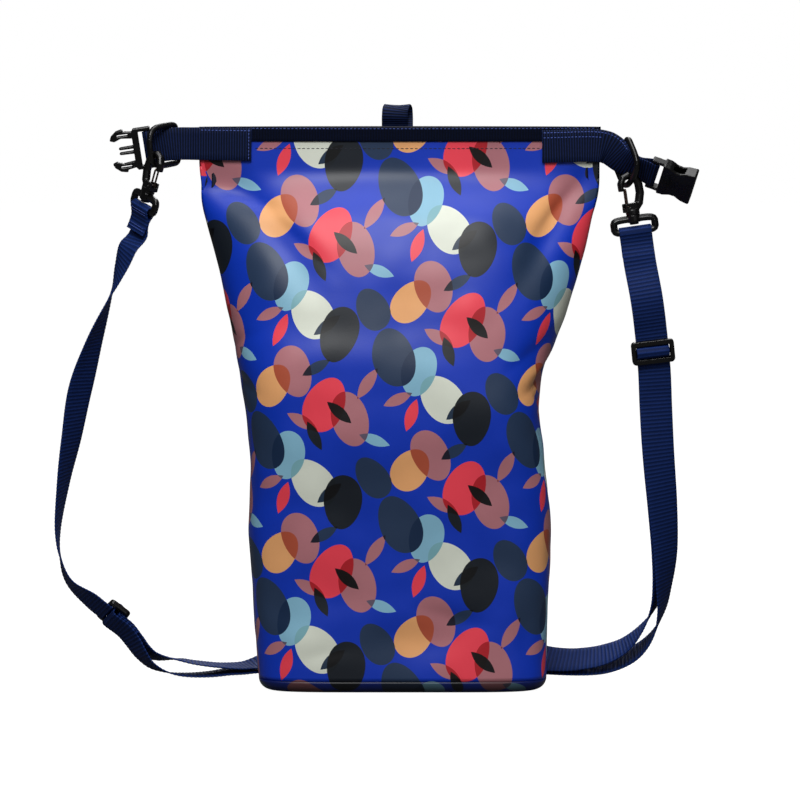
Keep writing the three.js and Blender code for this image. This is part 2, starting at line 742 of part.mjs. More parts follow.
// Snap hook in its own frame: shank along Z, spine on +X, gate on -X
function snapHook() {
  const halfBlock = 4;
  const notch = HOOK.gateHalfWidth + HOOK.gateWire + GAP;
  const { x, z } = HOOK.pivot;
  const spine = HOOK.spine.map((row) => new THREE.Vector3(row.x, 0, row.z));
  const reach = HOOK.spine.map((row) => row.inPlane);
  const crook = bar(spine, reach, HOOK.halfThick, Y, 8);
  const shoulder = block([x - 2.3, -halfBlock, 0.5], [3.6, halfBlock, z + 2.2]);
  const collar = post(5.2, -1.9, 2);
  const stud = post(2.2, -8.4, -1.5);
  const head = post(3.4, -9.1, -7.75);
  const gateNotch = block([x - 3, -notch, z - 1.6], [x + 2, notch, z + 3]);
  const pivotHole = crossPin(HOOK.gateWire + GAP + 0.1, 2 * halfBlock + 1, x, z, 8);
  return joined([crook, shoulder, collar, stud, head], [gateNotch, pivotHole]);
}

// Sprung wire gate, from its pivot pin up to the inside of the hook's nose
function hookGate() {
  const y = HOOK.gateHalfWidth;
  const top = HOOK.gateLength;
  const across = [y, y, y - 0.6, 0.6 - y, -y, -y];
  const up = [0, top - 0.8, top, top, top - 0.8, 0];
  const points = across.map((value, i) => new THREE.Vector3(0, value, up[i]));
  const wire = bar(points, HOOK.gateWire, HOOK.gateWire, new THREE.Vector3(1, 0, 0), WIRE_SIDES);
  return joined([wire, crossPin(HOOK.gateWire, 7.4, 0, 0, 8)]);
}

// Swivel eye below the hook: a flattened loop with a boss for the hook's stud
function swivelEye() {
  const steps = 20;
  const middle = (HOOK.eyeTop + HOOK.eyeBar) / 2;
  const halfHeight = (HOOK.eyeTop - HOOK.eyeBar) / 2;
  const halfWidth = SLOT / 2 + EYE_WIRE;
  const squareness = 5;
  const points = Array.from({ length: steps }, (_, i) => {
    const angle = (2 * Math.PI * (i + 0.5)) / steps;
    const c = Math.cos(angle);
    const s = Math.sin(angle);
    const x = halfWidth * Math.sign(c) * Math.abs(c) ** (2 / squareness);
    const z = middle + halfHeight * Math.sign(s) * Math.abs(s) ** (2 / squareness);
    return new THREE.Vector3(x, 0, z);
  });
  const loop = bar(points, EYE_WIRE, EYE_WIRE, Y, WIRE_SIDES, true);
  return joined([loop, post(4.6, -7.3, -2.2)], [post(2.6, -8.7, -1)]);
}

// Strap adjuster: a frame about a middle bar
const SLIDER_LENGTH = 18;
const SLIDER_THICK = 3.6;
function slider() {
  const frame = roundedRectangle(SLIDER_LENGTH, SLOT + 6, 3);
  const opening = roundedRectangle(SLIDER_LENGTH - 7.2, SLOT, 1);
  frame.holes.push(new THREE.Path(opening.getPoints(2)));
  return joined([plate(frame, SLIDER_THICK), crossPin(SLIDER_BAR, SLOT + 1, 0, 0, 8)]);
}

// Strap: sewn round the eye, down through the slider, round the anchor and back to the slider's bar
function strapSide(course, spec, sliderAt, anchorAt) {
  const { tailSide, sliderFace, layers } = spec;
  const eyeLoop = EYE_WIRE + GAP + WEBBING_THICK / 2 + 0.3;
  const over = SLIDER_BAR + 2 * GAP + 1.5 * WEBBING_THICK + 0.05;
  const under = SLIDER_BAR + GAP + WEBBING_THICK / 2;
  const behind = layers[0].front;
  const doubled = anchorAt - sliderAt;
  const spacing = 13;
  const sewn = [
    [TAIL, LAP + 1.2],
    [TAIL / 2 + 3, LAP],
    [8, LAP],
    [4, 2.1],
  ];
  const start = sewn.map(([at, height]) => [at, tailSide * height]);
  const back = start.map(([at, height]) => [at, -height]).reverse();
  const upperRun = evenPlaces(TAIL + 12, sliderAt - 40, spacing).map((at) => [at, 0]);
  const throughSlot = [
    [-26, 0.4 * behind],
    [-16, 0.9 * behind],
    [-9.6, behind],
    [-5.8, behind],
    [-4.55, behind + 0.35],
    [-over, -0.8],
  ];
  const downSlot = throughSlot.slice(2).map(([at, height]) => [-at, height]).reverse();
  const lowerRun = (layer) =>
    evenPlaces(sliderAt + 13, anchorAt - 5, spacing).map((at) => [
      at,
      tableValue(layers, 'share', layer, (at - sliderAt) / doubled),
    ]);
  const returned = layers[0].back;
  const barLoop = [
    [9.6, returned],
    [2, returned],
    [-1.2, returned + 0.4],
    [-2.3, returned + 1.4],
    [-under, -2.8],
    ...overBar(under, 6),
    [under, -2.6],
    [3.5, -4.1],
    [5.2, -4.4],
    [14, -4.4],
    [23, -4.4],
  ];
  const onSlider = (side) => side.map(([at, height]) => [sliderAt + at, height]);
  const lowerLoop = [
    ...onSlider([...throughSlot, ...overBar(over, 6), ...downSlot]),
    ...lowerRun('front'),
    ...turnRound(anchorAt, 3.3, layers.at(-1).front, 1, 1, 8),
    ...lowerRun('back').reverse(),
    ...onSlider(barLoop),
  ];
  return [
    ...start,
    ...turnRound(0, eyeLoop, eyeLoop, -1, tailSide, 8),
    ...back,
    ...upperRun,
    ...lowerLoop.map(([at, height]) => [at, sliderFace * height]),
  ];
}

// Side view of webbing over the front of a slider's bar.
function overBar(radius, steps) {
  return Array.from({ length: steps + 1 }, (_, i) => {
    const angle = Math.PI * (1 - i / steps);
    return [radius * Math.cos(angle), radius * Math.sin(angle)];
  });
}

// Even places from first to last, about a spacing apart.
function evenPlaces(first, last, spacing) {
  const steps = Math.max(1, Math.round((last - first) / spacing));
  return Array.from({ length: steps + 1 }, (_, i) => lerp(first, last, i / steps));
}

// Lower strap fixing on the back: a sewn flange that steps out to a slot with a bar
function strapAnchor(side) {
  const wall = sectionAt(SEAM_HEIGHT).halfDepth + GAP;
  const thick = 2.2;
  const standOff = 3.3;
  const slotStart = 59.5;
  const slotEnd = ANCHOR_BAR - 1.75;
  const end = ANCHOR_BAR + 1.75;
  const profile = [
    [ANCHOR_FIRST, wall],
    [ANCHOR_STEP, wall],
    [ANCHOR_STEP + 3, wall + standOff],
    [end, wall + standOff],
    [end, wall + standOff + thick],
    [ANCHOR_STEP + 2, wall + standOff + thick],
    [ANCHOR_STEP - 1, wall + thick],
    [ANCHOR_FIRST, wall + thick],
  ];
  const shape = new THREE.Shape(profile.map(([x, y]) => new THREE.Vector2(side * x, y)));
  const body = plate(shape, ANCHOR_HEIGHT).translate(0, 0, ANCHOR_Z);
  const halfSlot = SLOT / 2;
  const xs = [side * slotStart, side * slotEnd].sort((a, b) => a - b);
  const slot = block([xs[0], wall, ANCHOR_Z - halfSlot], [xs[1], wall + 9, ANCHOR_Z + halfSlot]);
  return joined([body], [slot]);
}

// One side of the bag: tab, ring, hook and strap, each carried by the one before
function addSide(name, side, buckleName, buckleGeometry) {
  const tab = TABS[name];
  const tabCourse = new Course(tab.rows);
  addPart(`tab_${name}`, tabWebbing(tabCourse, tab), NAVY_WEBBING);

  const buckle = addPart(buckleName, buckleGeometry, BLACK_PLASTIC);
  buckle.applyMatrix4(tabCourse.matrix(tab.bar));

  const ring = addPart(`d_ring_${name}`, dRing(), BLACK_PLASTIC);
  ring.rotation.set(0, -degToRad(tab.ring.tilt), degToRad(tab.ring.roll), 'ZYX');
  ring.position.z = tab.ring.lift;
  ring.updateMatrix();
  ring.applyMatrix4(tabCourse.matrix(tab.ring.at));

  const hookSpec = HOOKS[name];
  const up = new THREE.Vector3(...hookSpec.up).normalize();
  const bearing = degToRad(hookSpec.bearing);
  const spineWay = new THREE.Vector3(Math.cos(bearing), Math.sin(bearing), 0);
  spineWay.addScaledVector(up, -spineWay.dot(up)).normalize();
  const square = new THREE.Vector3().crossVectors(up, spineWay);
  const hookMatrix = new THREE.Matrix4().makeBasis(spineWay, square, up);
  ring.updateMatrix();
  const hangsAt = ringPoint(tab.ring.hook).applyMatrix4(ring.matrix);
  const seat = new THREE.Vector3(hookSpec.seat.x, 0, hookSpec.seat.z).applyMatrix4(hookMatrix);
  hookMatrix.setPosition(hangsAt.clone().sub(seat));
  const hook = new THREE.Group();
  hook.applyMatrix4(hookMatrix);
  bag.add(hook);
  addPart(`snap_hook_${name}`, snapHook(), BLACK_PLASTIC, hook);
  const gate = addPart(`hook_gate_${name}`, hookGate(), DARK_WIRE, hook);
  gate.position.set(HOOK.pivot.x, 0, HOOK.pivot.z);

  const strap = STRAPS[name];
  const eyeBar = new THREE.Vector3(0, 0, HOOK.eyeBar).applyMatrix4(hookMatrix);
  const firstTurn = strap.rows[0].turn;
  const fromEye = [0, 9, 22].map((drop) => {
    const { x, y, z } = eyeBar.clone().addScaledVector(up, -drop);
    return { x, y, z, turn: firstTurn };
  });
  const strapCourse = new Course([...fromEye, ...strap.rows]);
  const eye = addPart(`swivel_eye_${name}`, swivelEye(), BLACK_PLASTIC);
  const { across } = strapCourse.frame(0);
  const eyeFront = new THREE.Vector3().crossVectors(up, across);
  const eyeMatrix = new THREE.Matrix4().makeBasis(across, eyeFront, up);
  eyeMatrix.copyPosition(hookMatrix);
  eye.applyMatrix4(eyeMatrix);

  const sliderAt = strapCourse.turns[fromEye.length + strap.slider].at;
  const anchorAt = strapCourse.length - (ANCHOR_BAR - Math.abs(strap.rows.at(-1).x));
  const sideView = strapSide(strapCourse, strap, sliderAt, anchorAt);
  addPart(`strap_${name}`, strapCourse.webbing(sideView), NAVY_WEBBING);
  const adjuster = addPart(`slider_${name}`, slider(), BLACK_PLASTIC);
  adjuster.applyMatrix4(strapCourse.matrix(sliderAt));
  addPart(`strap_anchor_${name}`, strapAnchor(side), BLACK_PLASTIC);
}

addPart('bag_front', clothPanel(-1), PRINT);
addPart('bag_back', clothPanel(1), PRINT);
addPart('base_panel', basePanel(), PRINT);
addPart('mouth_band_front', mouthBand(-1), NAVY_WEBBING);
addPart('mouth_band_back', mouthBand(1), NAVY_WEBBING);
addPart('hang_tab', hangTab(), NAVY_WEBBING);
addSide('left', -1, 'buckle_male', buckleMale());
addSide('right', 1, 'buckle_female', buckleFemale());

export default bag;
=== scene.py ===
"""Looks of the roll-top dry bag backpack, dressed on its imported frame.

Sizes are in millimetres until a mesh is made. +X is to the right of the printed front, +Y from
the front to the back and +Z up.
"""

import json
import logging
import math
from collections.abc import Callable, Iterable, Mapping, Sequence
from dataclasses import dataclass, field
from enum import Enum

import bmesh
import bpy
import numpy as np
from bpy.types import ID, Material, Node, NodeSocket, NodeTree, Object
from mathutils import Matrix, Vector, noise


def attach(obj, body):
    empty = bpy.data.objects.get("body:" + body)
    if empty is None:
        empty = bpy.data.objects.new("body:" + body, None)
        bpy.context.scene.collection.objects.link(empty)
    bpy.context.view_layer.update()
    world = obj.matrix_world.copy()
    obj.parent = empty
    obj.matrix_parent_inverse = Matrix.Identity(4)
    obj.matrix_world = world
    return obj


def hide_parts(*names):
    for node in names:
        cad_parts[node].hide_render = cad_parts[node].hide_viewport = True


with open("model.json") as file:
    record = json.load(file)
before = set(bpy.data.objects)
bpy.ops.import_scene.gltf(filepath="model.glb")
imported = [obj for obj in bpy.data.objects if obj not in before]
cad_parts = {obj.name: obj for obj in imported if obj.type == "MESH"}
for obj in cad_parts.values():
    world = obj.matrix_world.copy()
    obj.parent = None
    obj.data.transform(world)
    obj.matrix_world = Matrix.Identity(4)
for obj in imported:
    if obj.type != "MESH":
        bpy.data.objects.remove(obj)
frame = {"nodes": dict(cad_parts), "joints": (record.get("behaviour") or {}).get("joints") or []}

log = logging.getLogger("dry_bag")

MM = 0.001
BAG = "bag"
UV_NAME = "cloth"
STITCH_WAY = "out"
WEBBING_WIDTH = 25.0
WEBBING_THICK = 1.3
STRAP_RIB = 3.0
TAB_RIB = 2.0
TAB_RIB_HEIGHT = 0.09
TAPE_RIB = 1.2
TAPE_RIB_HEIGHT = 0.04
# How narrow the painted highlight on the webbing's rib crests is, and how much the threads break it
# into dots.
RIB_SHARPNESS = 3.0
THREAD_SHOW = 0.7
THREAD_RELIEF = 0.4
PATCH_DETAIL = 3.0
GRAIN_FINENESS = 40.0
WHITE = (1.0, 1.0, 1.0, 1.0)
BLACK = (0.0, 0.0, 0.0, 1.0)

Array = np.ndarray
Triple = tuple[float, float, float]
SideView = list[tuple[float, float]]
Value = float | str | tuple[float, ...] | NodeSocket
Sockets = Mapping[str, NodeSocket]


class Ink(Enum):
    """Colours of the print, as display red, green and blue."""

    ROYAL = (0.01, 0.22, 0.76)
    CORAL = (1.0, 0.28, 0.35)
    ROSE = (0.74, 0.48, 0.51)
    SLATE = (0.15, 0.23, 0.35)
    INK = (0.08, 0.11, 0.15)
    SKY = (0.56, 0.77, 0.87)
    CREAM = (0.92, 0.94, 0.88)
    TAN = (0.98, 0.71, 0.47)


class Side(Enum):
    """Side of the bag, as the frame's nodes spell it."""

    LEFT = "left"
    RIGHT = "right"


class Face(Enum):
    """Face of a piece of webbing."""

    OUTER = 1
    INNER = -1


class Slot(Enum):
    """Material slots of the record."""

    PRINTED = "printed_cloth"
    WEBBING = "webbing"
    PLASTIC = "plastic"
    WIRE = "gate_wire"


class Kind(Enum):
    """Socket types of the node groups."""

    NUMBER = "NodeSocketFloat"
    VECTOR = "NodeSocketVector"
    COLOUR = "NodeSocketColor"
    GEOMETRY = "NodeSocketGeometry"
    MATERIAL = "NodeSocketMaterial"

    def named(self, *labels: str) -> dict[str, str]:
        """Sockets of this type, by their labels."""
        return dict.fromkeys(labels, self.value)


@dataclass(frozen=True)
class Section:
    """Cross-section of the cloth tube at one height."""

    z: float
    half_depth: float
    sides: float
    faces: float
    edge: float
    shift: float


@dataclass(frozen=True)
class Fold:
    """Dent or fold, placed on the cloth by its distance round from the middle of the front."""

    girth: float
    z: float
    across: float
    up: float
    lean: float
    depth: float
    crisp: float = 2.0


@dataclass(frozen=True)
class Wave:
    """Slight waves of the cloth: their lengths round and up it, and their height."""

    length: float
    rise: float
    height: float


@dataclass(frozen=True)
class Bend:
    """Point of a strap's course, with the turn of the webbing about its run."""

    x: float
    y: float
    z: float
    turn: float


@dataclass(frozen=True)
class Layer:
    """Heights of a doubled strap's two layers off its course, by the share of the way down."""

    share: float
    front: float
    back: float


@dataclass(frozen=True)
class Motif:
    """Printed shape in the repeat of the print."""

    x: float
    y: float
    half_width: float
    half_height: float
    turn: float
    ink: Ink
    pointed: float = 0.0
    taper: float = 0.0


@dataclass(frozen=True)
class Lamp:
    """Square soft lamp that faces the bag, placed in metres."""

    name: str
    place: Triple
    size: float
    power: float


SECTIONS = (
    Section(9, 59, 5.5, 5, 1.2, 2),
    Section(36, 57.6, 5.5, 5, 1.2, 1.2),
    Section(82, 55.5, 5.2, 4.6, 1.2, 0.5),
    Section(119, 55.6, 5, 4.4, 1.2, 0),
    Section(156, 57.9, 4.8, 4, 1.2, -1),
    Section(205, 62, 4.6, 3.4, 1.3, -5),
    Section(248, 57.6, 4.2, 2.8, 1.5, -6),
    Section(285, 50.1, 3.8, 2.2, 1.8, -2.4),
    Section(322, 42.9, 3.3, 1.75, 2.4, -0.8),
    Section(359, 31, 2.8, 1.35, 4, -0.6),
    Section(400, 8.4, 2.2, 1.05, 9, -0.2),
    Section(431, 8, 2.2, 1.05, 9, 0),
)

FOLDS = (
    Fold(152, 236, 30, 22, 0, 3),
    Fold(118, 352, 46, 11, 58, 5),
    Fold(-128, 384, 26, 10, -12, 3.5),
    Fold(-92, 344, 44, 14, -50, 4),
    Fold(-148, 250, 24, 30, 0, 1),
    Fold(20, 44, 30, 16, 10, 3),
    Fold(-96, 70, 14, 52, -8, 3),
    Fold(309, 190, 70, 80, 0, 4),
    Fold(130, 241, 22, 5.5, 26, 5.2, 1.15),
    Fold(128, 251, 24, 5, 27, -1.8, 1.4),
    Fold(132, 222, 20, 4.5, -18, 2.4, 1.3),
    Fold(112, 262, 26, 6, 34, 1.8, 1.5),
    Fold(-112, 374, 30, 5, -16, 1.8, 1.4),
    Fold(-84, 352, 34, 6, -42, 1.6, 1.5),
    Fold(122, 368, 24, 5, 52, 2.0, 1.4),
    Fold(-126, 236, 20, 5, -20, 2.0, 1.4),
    Fold(-132, 268, 20, 5, 16, 1.6, 1.4),
    Fold(40, 58, 26, 7, -14, 1.4, 1.6),
    Fold(-60, 30, 20, 7, 12, 1.2, 1.6),
    Fold(96, 40, 8, 22, 6, 1.4, 1.6),
    Fold(-10, 300, 60, 26, 8, 1.6),
    Fold(60, 180, 50, 40, -20, 1.5),
    Fold(-50, 200, 44, 50, 14, 1.5),
    Fold(250, 260, 44, 18, 20, 3),
    Fold(-250, 300, 44, 16, -24, 3),
)

TAB_COURSES = {
    Side.LEFT: (
        Bend(-114, 0, 417.6, 0),
        Bend(-156, 0, 418, 0),
        Bend(-172, 0, 417.9, 0),
        Bend(-188, 0, 416, 5),
        Bend(-206, 0, 413.3, 5),
    ),
    Side.RIGHT: (
        Bend(109, 0, 416, 0),
        Bend(155, 0, 416, 0),
        Bend(162.5, 0, 413, -12),
        Bend(170.5, -1, 405.8, -34),
        Bend(180, -2, 400, -45),
        Bend(191, -3, 397, -46),
        Bend(210, -4.6, 390, -44),
    ),
}

STRAP_COURSES = {
    Side.LEFT: (
        Bend(-209, -8, 338, -56),
        Bend(-216, -4, 320, -70),
        Bend(-222.5, 1, 302, -90),
        Bend(-236, 11, 264.5, -118),
        Bend(-247, 20, 227, -135),
        Bend(-254, 28.5, 189.5, -126),
        Bend(-261, 36.5, 151.5, -110),
        Bend(-265.5, 43, 114, -96),
        Bend(-263.8, 46.5, 93.5, -86),
        Bend(-256.5, 49.5, 73.5, -73),
        Bend(-235, 52.9, 57.6, -55),
        Bend(-223, 53.5, 48.2, -55),
        Bend(-211, 54.1, 38.8, -55),
        Bend(-203.6, 53.9, 29.6, -57),
        Bend(-198, 53, 21.4, -62),
        Bend(-191, 52, 14, -71),
        Bend(-181, 50.6, 9.6, -81),
        Bend(-168, 49.6, 7.1, -88),
        Bend(-152, 51, 5.8, -91),
        Bend(-136, 55, 5.3, -93),
        Bend(-121, 60.5, 5.4, -97),
        Bend(-109, 64.6, 7.4, -110),
        Bend(-98, 66.2, 10.8, -134),
        Bend(-90, 65.4, 14, -158),
        Bend(-82, 64, 16.8, -177),
        Bend(-74, 63.7, 17.5, -180),
        Bend(-58, 63.7, 17.5, -180),
    ),
    Side.RIGHT: (
        Bend(189, -13.6, 301, 2),
        Bend(193.2, -7, 271.5, 3),
        Bend(194.6, -4, 258, 3),
        Bend(196, -1, 244.5, 3),
        Bend(197.8, 6, 212, 6),
        Bend(199.8, 14, 174, 14),
        Bend(203, 22, 136, 27),
        Bend(205, 29.5, 100, 42),
        Bend(204, 35, 76, 58),
        Bend(200.5, 41, 53.5, 76),
        Bend(192, 46, 35.2, 94),
        Bend(178, 49.5, 21, 110),
        Bend(160, 52.5, 13.5, 121),
        Bend(140, 55.5, 10.8, 126),
        Bend(120, 60, 10.8, 132),
        Bend(104, 64.6, 12.4, 147),
        Bend(92, 65.6, 15.2, 166),
        Bend(77, 63.7, 17.3, 180),
        Bend(58, 63.7, 17.5, 180),
    ),
}

STRAP_LAYERS = {
    Side.LEFT: (
        Layer(0, -2.8, -6),
        Layer(0.16, -2.8, -6),
        Layer(0.36, 5.6, -6),
        Layer(0.5, 3.8, -4.4),
        Layer(0.64, 2, -2),
        Layer(0.82, 1.7, -1.7),
        Layer(1, 2.7, -2.7),
    ),
    Side.RIGHT: (
        Layer(0, -2.8, -6),
        Layer(0.09, -2.8, -6),
        Layer(0.25, 0.9, -0.9),
        Layer(0.5, 1.6, -1.6),
        Layer(0.66, 5.4, -5.4),
        Layer(0.74, 4.4, -4.4),
        Layer(0.83, 2.1, -2.1),
        Layer(0.92, 1.7, -1.7),
        Layer(1, 2.7, -2.7),
    ),
}

MOTIFS = (
    Motif(0, 2, 15.5, 23, 24, Ink.SLATE, taper=0.1),
    Motif(20, -9, 13, 19, -16, Ink.SKY, taper=-0.1),
    Motif(51, 30, 15, 22, -28, Ink.CORAL, taper=0.12),
    Motif(70, 19, 14, 21, 12, Ink.ROSE),
    Motif(38, -30, 15, 20, 38, Ink.CREAM, taper=0.08),
    Motif(60, -45, 14.5, 21, -8, Ink.INK, taper=-0.1),
    Motif(10, 44, 13, 18, -40, Ink.TAN, taper=0.1),
    Motif(27, 55, 14, 20, 20, Ink.ROSE, taper=-0.08),
    Motif(84, -26, 12, 17, 30, Ink.SLATE, taper=0.1),
    Motif(33, 17, 4.6, 13, 62, Ink.ROSE, pointed=1.0),
    Motif(42, 6, 4.2, 12, 24, Ink.INK, pointed=1.0),
    Motif(84, 46, 4.6, 14, -34, Ink.ROSE, pointed=1.0),
    Motif(88, 3, 4.2, 12, 70, Ink.SKY, pointed=1.0),
    Motif(14, -42, 4.6, 13, -20, Ink.CORAL, pointed=1.0),
    Motif(4, -30, 4.2, 12, -66, Ink.ROSE, pointed=1.0),
    Motif(45, 58, 4.2, 12, -60, Ink.SLATE, pointed=1.0),
    Motif(62, 24, 4.2, 12, 48, Ink.INK, pointed=1.0),
    Motif(50, -38, 4.2, 12, -52, Ink.SLATE, pointed=1.0),
)

WAVES = (Wave(62, 48, 1.4), Wave(26, 22, 0.7))

TAB_BARS = {Side.LEFT: 79.0, Side.RIGHT: 91.0}

TAB_SEAMS = {
    Side.LEFT: (((2, -10.5), (2, 10.5)), ((2, -10.5), (38, -10.5))),
    Side.RIGHT: (((2, 10.5), (62, 10.5)), ((2, 6.7), (44, 6.7))),
}

LAMPS = (
    Lamp("key", (-0.2, -1.7, 1.7), 0.9, 29.0),
    Lamp("fill", (0.9, -1.9, 0.9), 1.1, 2.0),
    Lamp("overhead", (0.0, 0.0, 1.7), 1.2, 18.0),
    Lamp("rear", (0.3, 1.8, 1.4), 1.1, 17.0),
)


def linear(colour: Triple) -> tuple[float, ...]:
    """Scene-linear colour with full cover, from display red, green and blue."""
    parts = [c / 12.92 if c <= 0.04045 else ((c + 0.055) / 1.055) ** 2.4 for c in colour]
    return (*parts, 1.0)


def eased(at: Sequence[float], value: Sequence[float], place: Array) -> Array:
    """Smooth values between a table's rows, never past them.

    Args:
        at: Places of the rows, rising.
        value: Values of the rows.
        place: Places to read.

    Returns:
        The value at each place.
    """
    knots, levels = np.asarray(at, float), np.asarray(value, float)
    slope = np.diff(levels) / np.diff(knots)
    tangent = np.zeros_like(levels)
    tangent[0], tangent[-1] = slope[0], slope[-1]
    before, after = slope[:-1], slope[1:]
    same = before * after > 0
    tangent[1:-1] = np.where(same, 2 * before * after / np.where(same, before + after, 1.0), 0.0)
    held = np.clip(place, knots[0], knots[-1])
    i = np.clip(np.searchsorted(knots, held) - 1, 0, len(knots) - 2)
    span = knots[i + 1] - knots[i]
    t = (held - knots[i]) / span
    rise = t * t * (3 - 2 * t)
    bend = t * (1 - t) * ((1 - t) * tangent[i] - t * tangent[i + 1]) * span
    return levels[i] + (levels[i + 1] - levels[i]) * rise + bend


def unit(rows: Array) -> Array:
    """Rows scaled to length one."""
    return rows / np.maximum(np.linalg.norm(rows, axis=-1, keepdims=True), 1e-12)


def running_length(points: Array) -> Array:
    """Distance from the first point to each one along their row."""
    return np.concatenate([[0.0], np.cumsum(np.linalg.norm(np.diff(points, axis=0), axis=1))])


def read_along(table: Array, measure: Array, places: Array) -> Array:
    """Rows of a table, read at places along its measure."""
    return np.stack([np.interp(places, measure, column) for column in table.T], axis=1)


def even_places(first: float, last: float, spacing: float) -> Array:
    """Even places from first to last, about a spacing apart."""
    return np.linspace(first, last, max(1, round((last - first) / spacing)) + 1)


def curve_through(points: Array, finer: int) -> Array:
    """Dense smooth curve through points.

    Args:
        points: Points in order.
        finer: Steps made of each span.

    Returns:
        The curve's points, ending on the last of the given ones.
    """
    ends = np.vstack([2 * points[0] - points[1], points, 2 * points[-1] - points[-2]])
    gap = np.sqrt(np.linalg.norm(np.diff(ends, axis=0), axis=1))[:, None]
    p0, p1, p2, p3 = ends[:-3], ends[1:-2], ends[2:-1], ends[3:]
    g0, g1, g2 = gap[:-2], gap[1:-1], gap[2:]
    leave = ((p1 - p0) / g0 - (p2 - p0) / (g0 + g1) + (p2 - p1) / g1) * g1
    reach = ((p2 - p1) / g1 - (p3 - p1) / (g1 + g2) + (p3 - p2) / g2) * g1
    t = (np.arange(finer) / finer)[None, :, None]
    square = -3 * p1 + 3 * p2 - 2 * leave - reach
    cube = 2 * p1 - 2 * p2 + leave + reach
    dense = p1[:, None] + leave[:, None] * t + square[:, None] * t**2 + cube[:, None] * t**3
    return np.vstack([dense.reshape(-1, points.shape[1]), points[-1]])


def even_run(points: Array, step: float, finer: int = 24) -> Array:
    """Points along a smooth curve through the given ones, about a step apart."""
    dense = curve_through(points, finer)
    length = running_length(dense)
    return read_along(dense, length, even_places(0, length[-1], step))


def at_height(ring: Array, z: float) -> Array:
    """Plan points lifted to a height."""
    return np.column_stack([ring, np.full(len(ring), z)])


def cloth_map(across: Array, along: Array) -> Array:
    """Cloth places of a grid, from those of its columns and its rows."""
    return np.stack(np.broadcast_arrays(across[None, :], along[:, None]), axis=-1)


def turn_round(at: float, reach: float, height: float, toward: int, start: int) -> SideView:
    """Side view of a turn round a bar.

    Args:
        at: Place of the bar along the course.
        reach: How far the turn goes past it.
        height: Height of the webbing off the course where the turn starts and ends.
        toward: 1 to turn beyond the bar and -1 before it.
        start: Face that the turn starts on.

    Returns:
        Places along the course and heights off it.
    """
    angles = np.linspace(0, math.pi, 9)
    return [(at + toward * reach * math.sin(a), start * height * math.cos(a)) for a in angles]


def over_bar(radius: float) -> SideView:
    """Side view of webbing over the front of a slider's bar."""
    return [(radius * math.cos(a), radius * math.sin(a)) for a in np.linspace(math.pi, 0, 7)]


def moved_along(rows: Iterable[tuple[float, float]], by: float) -> SideView:
    """Side view moved along its course."""
    return [(by + at, height) for at, height in rows]


class Wiring:
    """Adds and joins the nodes of one tree."""

    def __init__(self, tree: NodeTree) -> None:
        """Starts with the tree to work in."""
        self.tree = tree

    def add(
        self, kind: str, inputs: Mapping[str | int, Value] | None = None, **settings: object
    ) -> Node:
        """Adds a node, sets its properties and feeds its inputs by name or number."""
        node = self.tree.nodes.new(kind)
        for name, value in settings.items():
            setattr(node, name, value)
        for key, value in (inputs or {}).items():
            self.feed(node.inputs[key], value)
        return node

    def feed(self, socket: NodeSocket, value: Value) -> None:
        """Links a socket into an input, or sets the input's own value."""
        if isinstance(value, NodeSocket):
            self.tree.links.new(value, socket)
        else:
            socket.default_value = value

    def math(self, operation: str, *values: Value, clamp: bool = False) -> NodeSocket:
        """Result of one arithmetic step."""
        inputs = dict(enumerate(values))
        node = self.add("ShaderNodeMath", inputs, operation=operation, use_clamp=clamp)
        return node.outputs[0]

    def wave(self, place: NodeSocket, pitch: NodeSocket) -> NodeSocket:
        """Wave from 0 to 1 that crests once in each pitch."""
        turn = self.math("MULTIPLY", self.math("DIVIDE", place, pitch), math.tau)
        return self.math("MULTIPLY_ADD", self.math("COSINE", turn), 0.5, 0.5)

    def mixed(self, factor: Value, first: Value, second: Value, blend: str = "MIX") -> NodeSocket:
        """Mix of two colours."""
        inputs = {0: factor, 6: first, 7: second}
        return self.add("ShaderNodeMix", inputs, data_type="RGBA", blend_type=blend).outputs[2]

    def split(self, vector: Value) -> tuple[NodeSocket, ...]:
        """The three parts of a vector."""
        return tuple(self.add("ShaderNodeSeparateXYZ", {0: vector}).outputs)

    def group(self, group: "SharedGroup", **values: Value) -> Sockets:
        """Adds a shared group with its inputs set, and gives its results."""
        return self.add("ShaderNodeGroup", spaced(values), node_tree=group.tree()).outputs


def spaced(values: Mapping[str, Value]) -> dict[str, Value]:
    """Values by socket name, with a space for each underscore."""
    return {name.replace("_", " "): value for name, value in values.items()}


@dataclass(frozen=True)
class SharedGroup:
    """Node group that is wired on its first use and shared from then on."""

    name: str
    inputs: dict[str, str]
    outputs: dict[str, str]
    wire: Callable[[Wiring, Sockets], Sockets]
    tree_type: str = "ShaderNodeTree"

    def tree(self) -> NodeTree:
        """The group's tree."""
        if made := bpy.data.node_groups.get(self.name):
            return made
        tree = bpy.data.node_groups.new(self.name, self.tree_type)
        for way, sockets in (("INPUT", self.inputs), ("OUTPUT", self.outputs)):
            for label, socket_type in sockets.items():
                tree.interface.new_socket(label, in_out=way, socket_type=socket_type)
        w = Wiring(tree)
        w.add("NodeGroupOutput", self.wire(w, w.add("NodeGroupInput").outputs))
        return tree


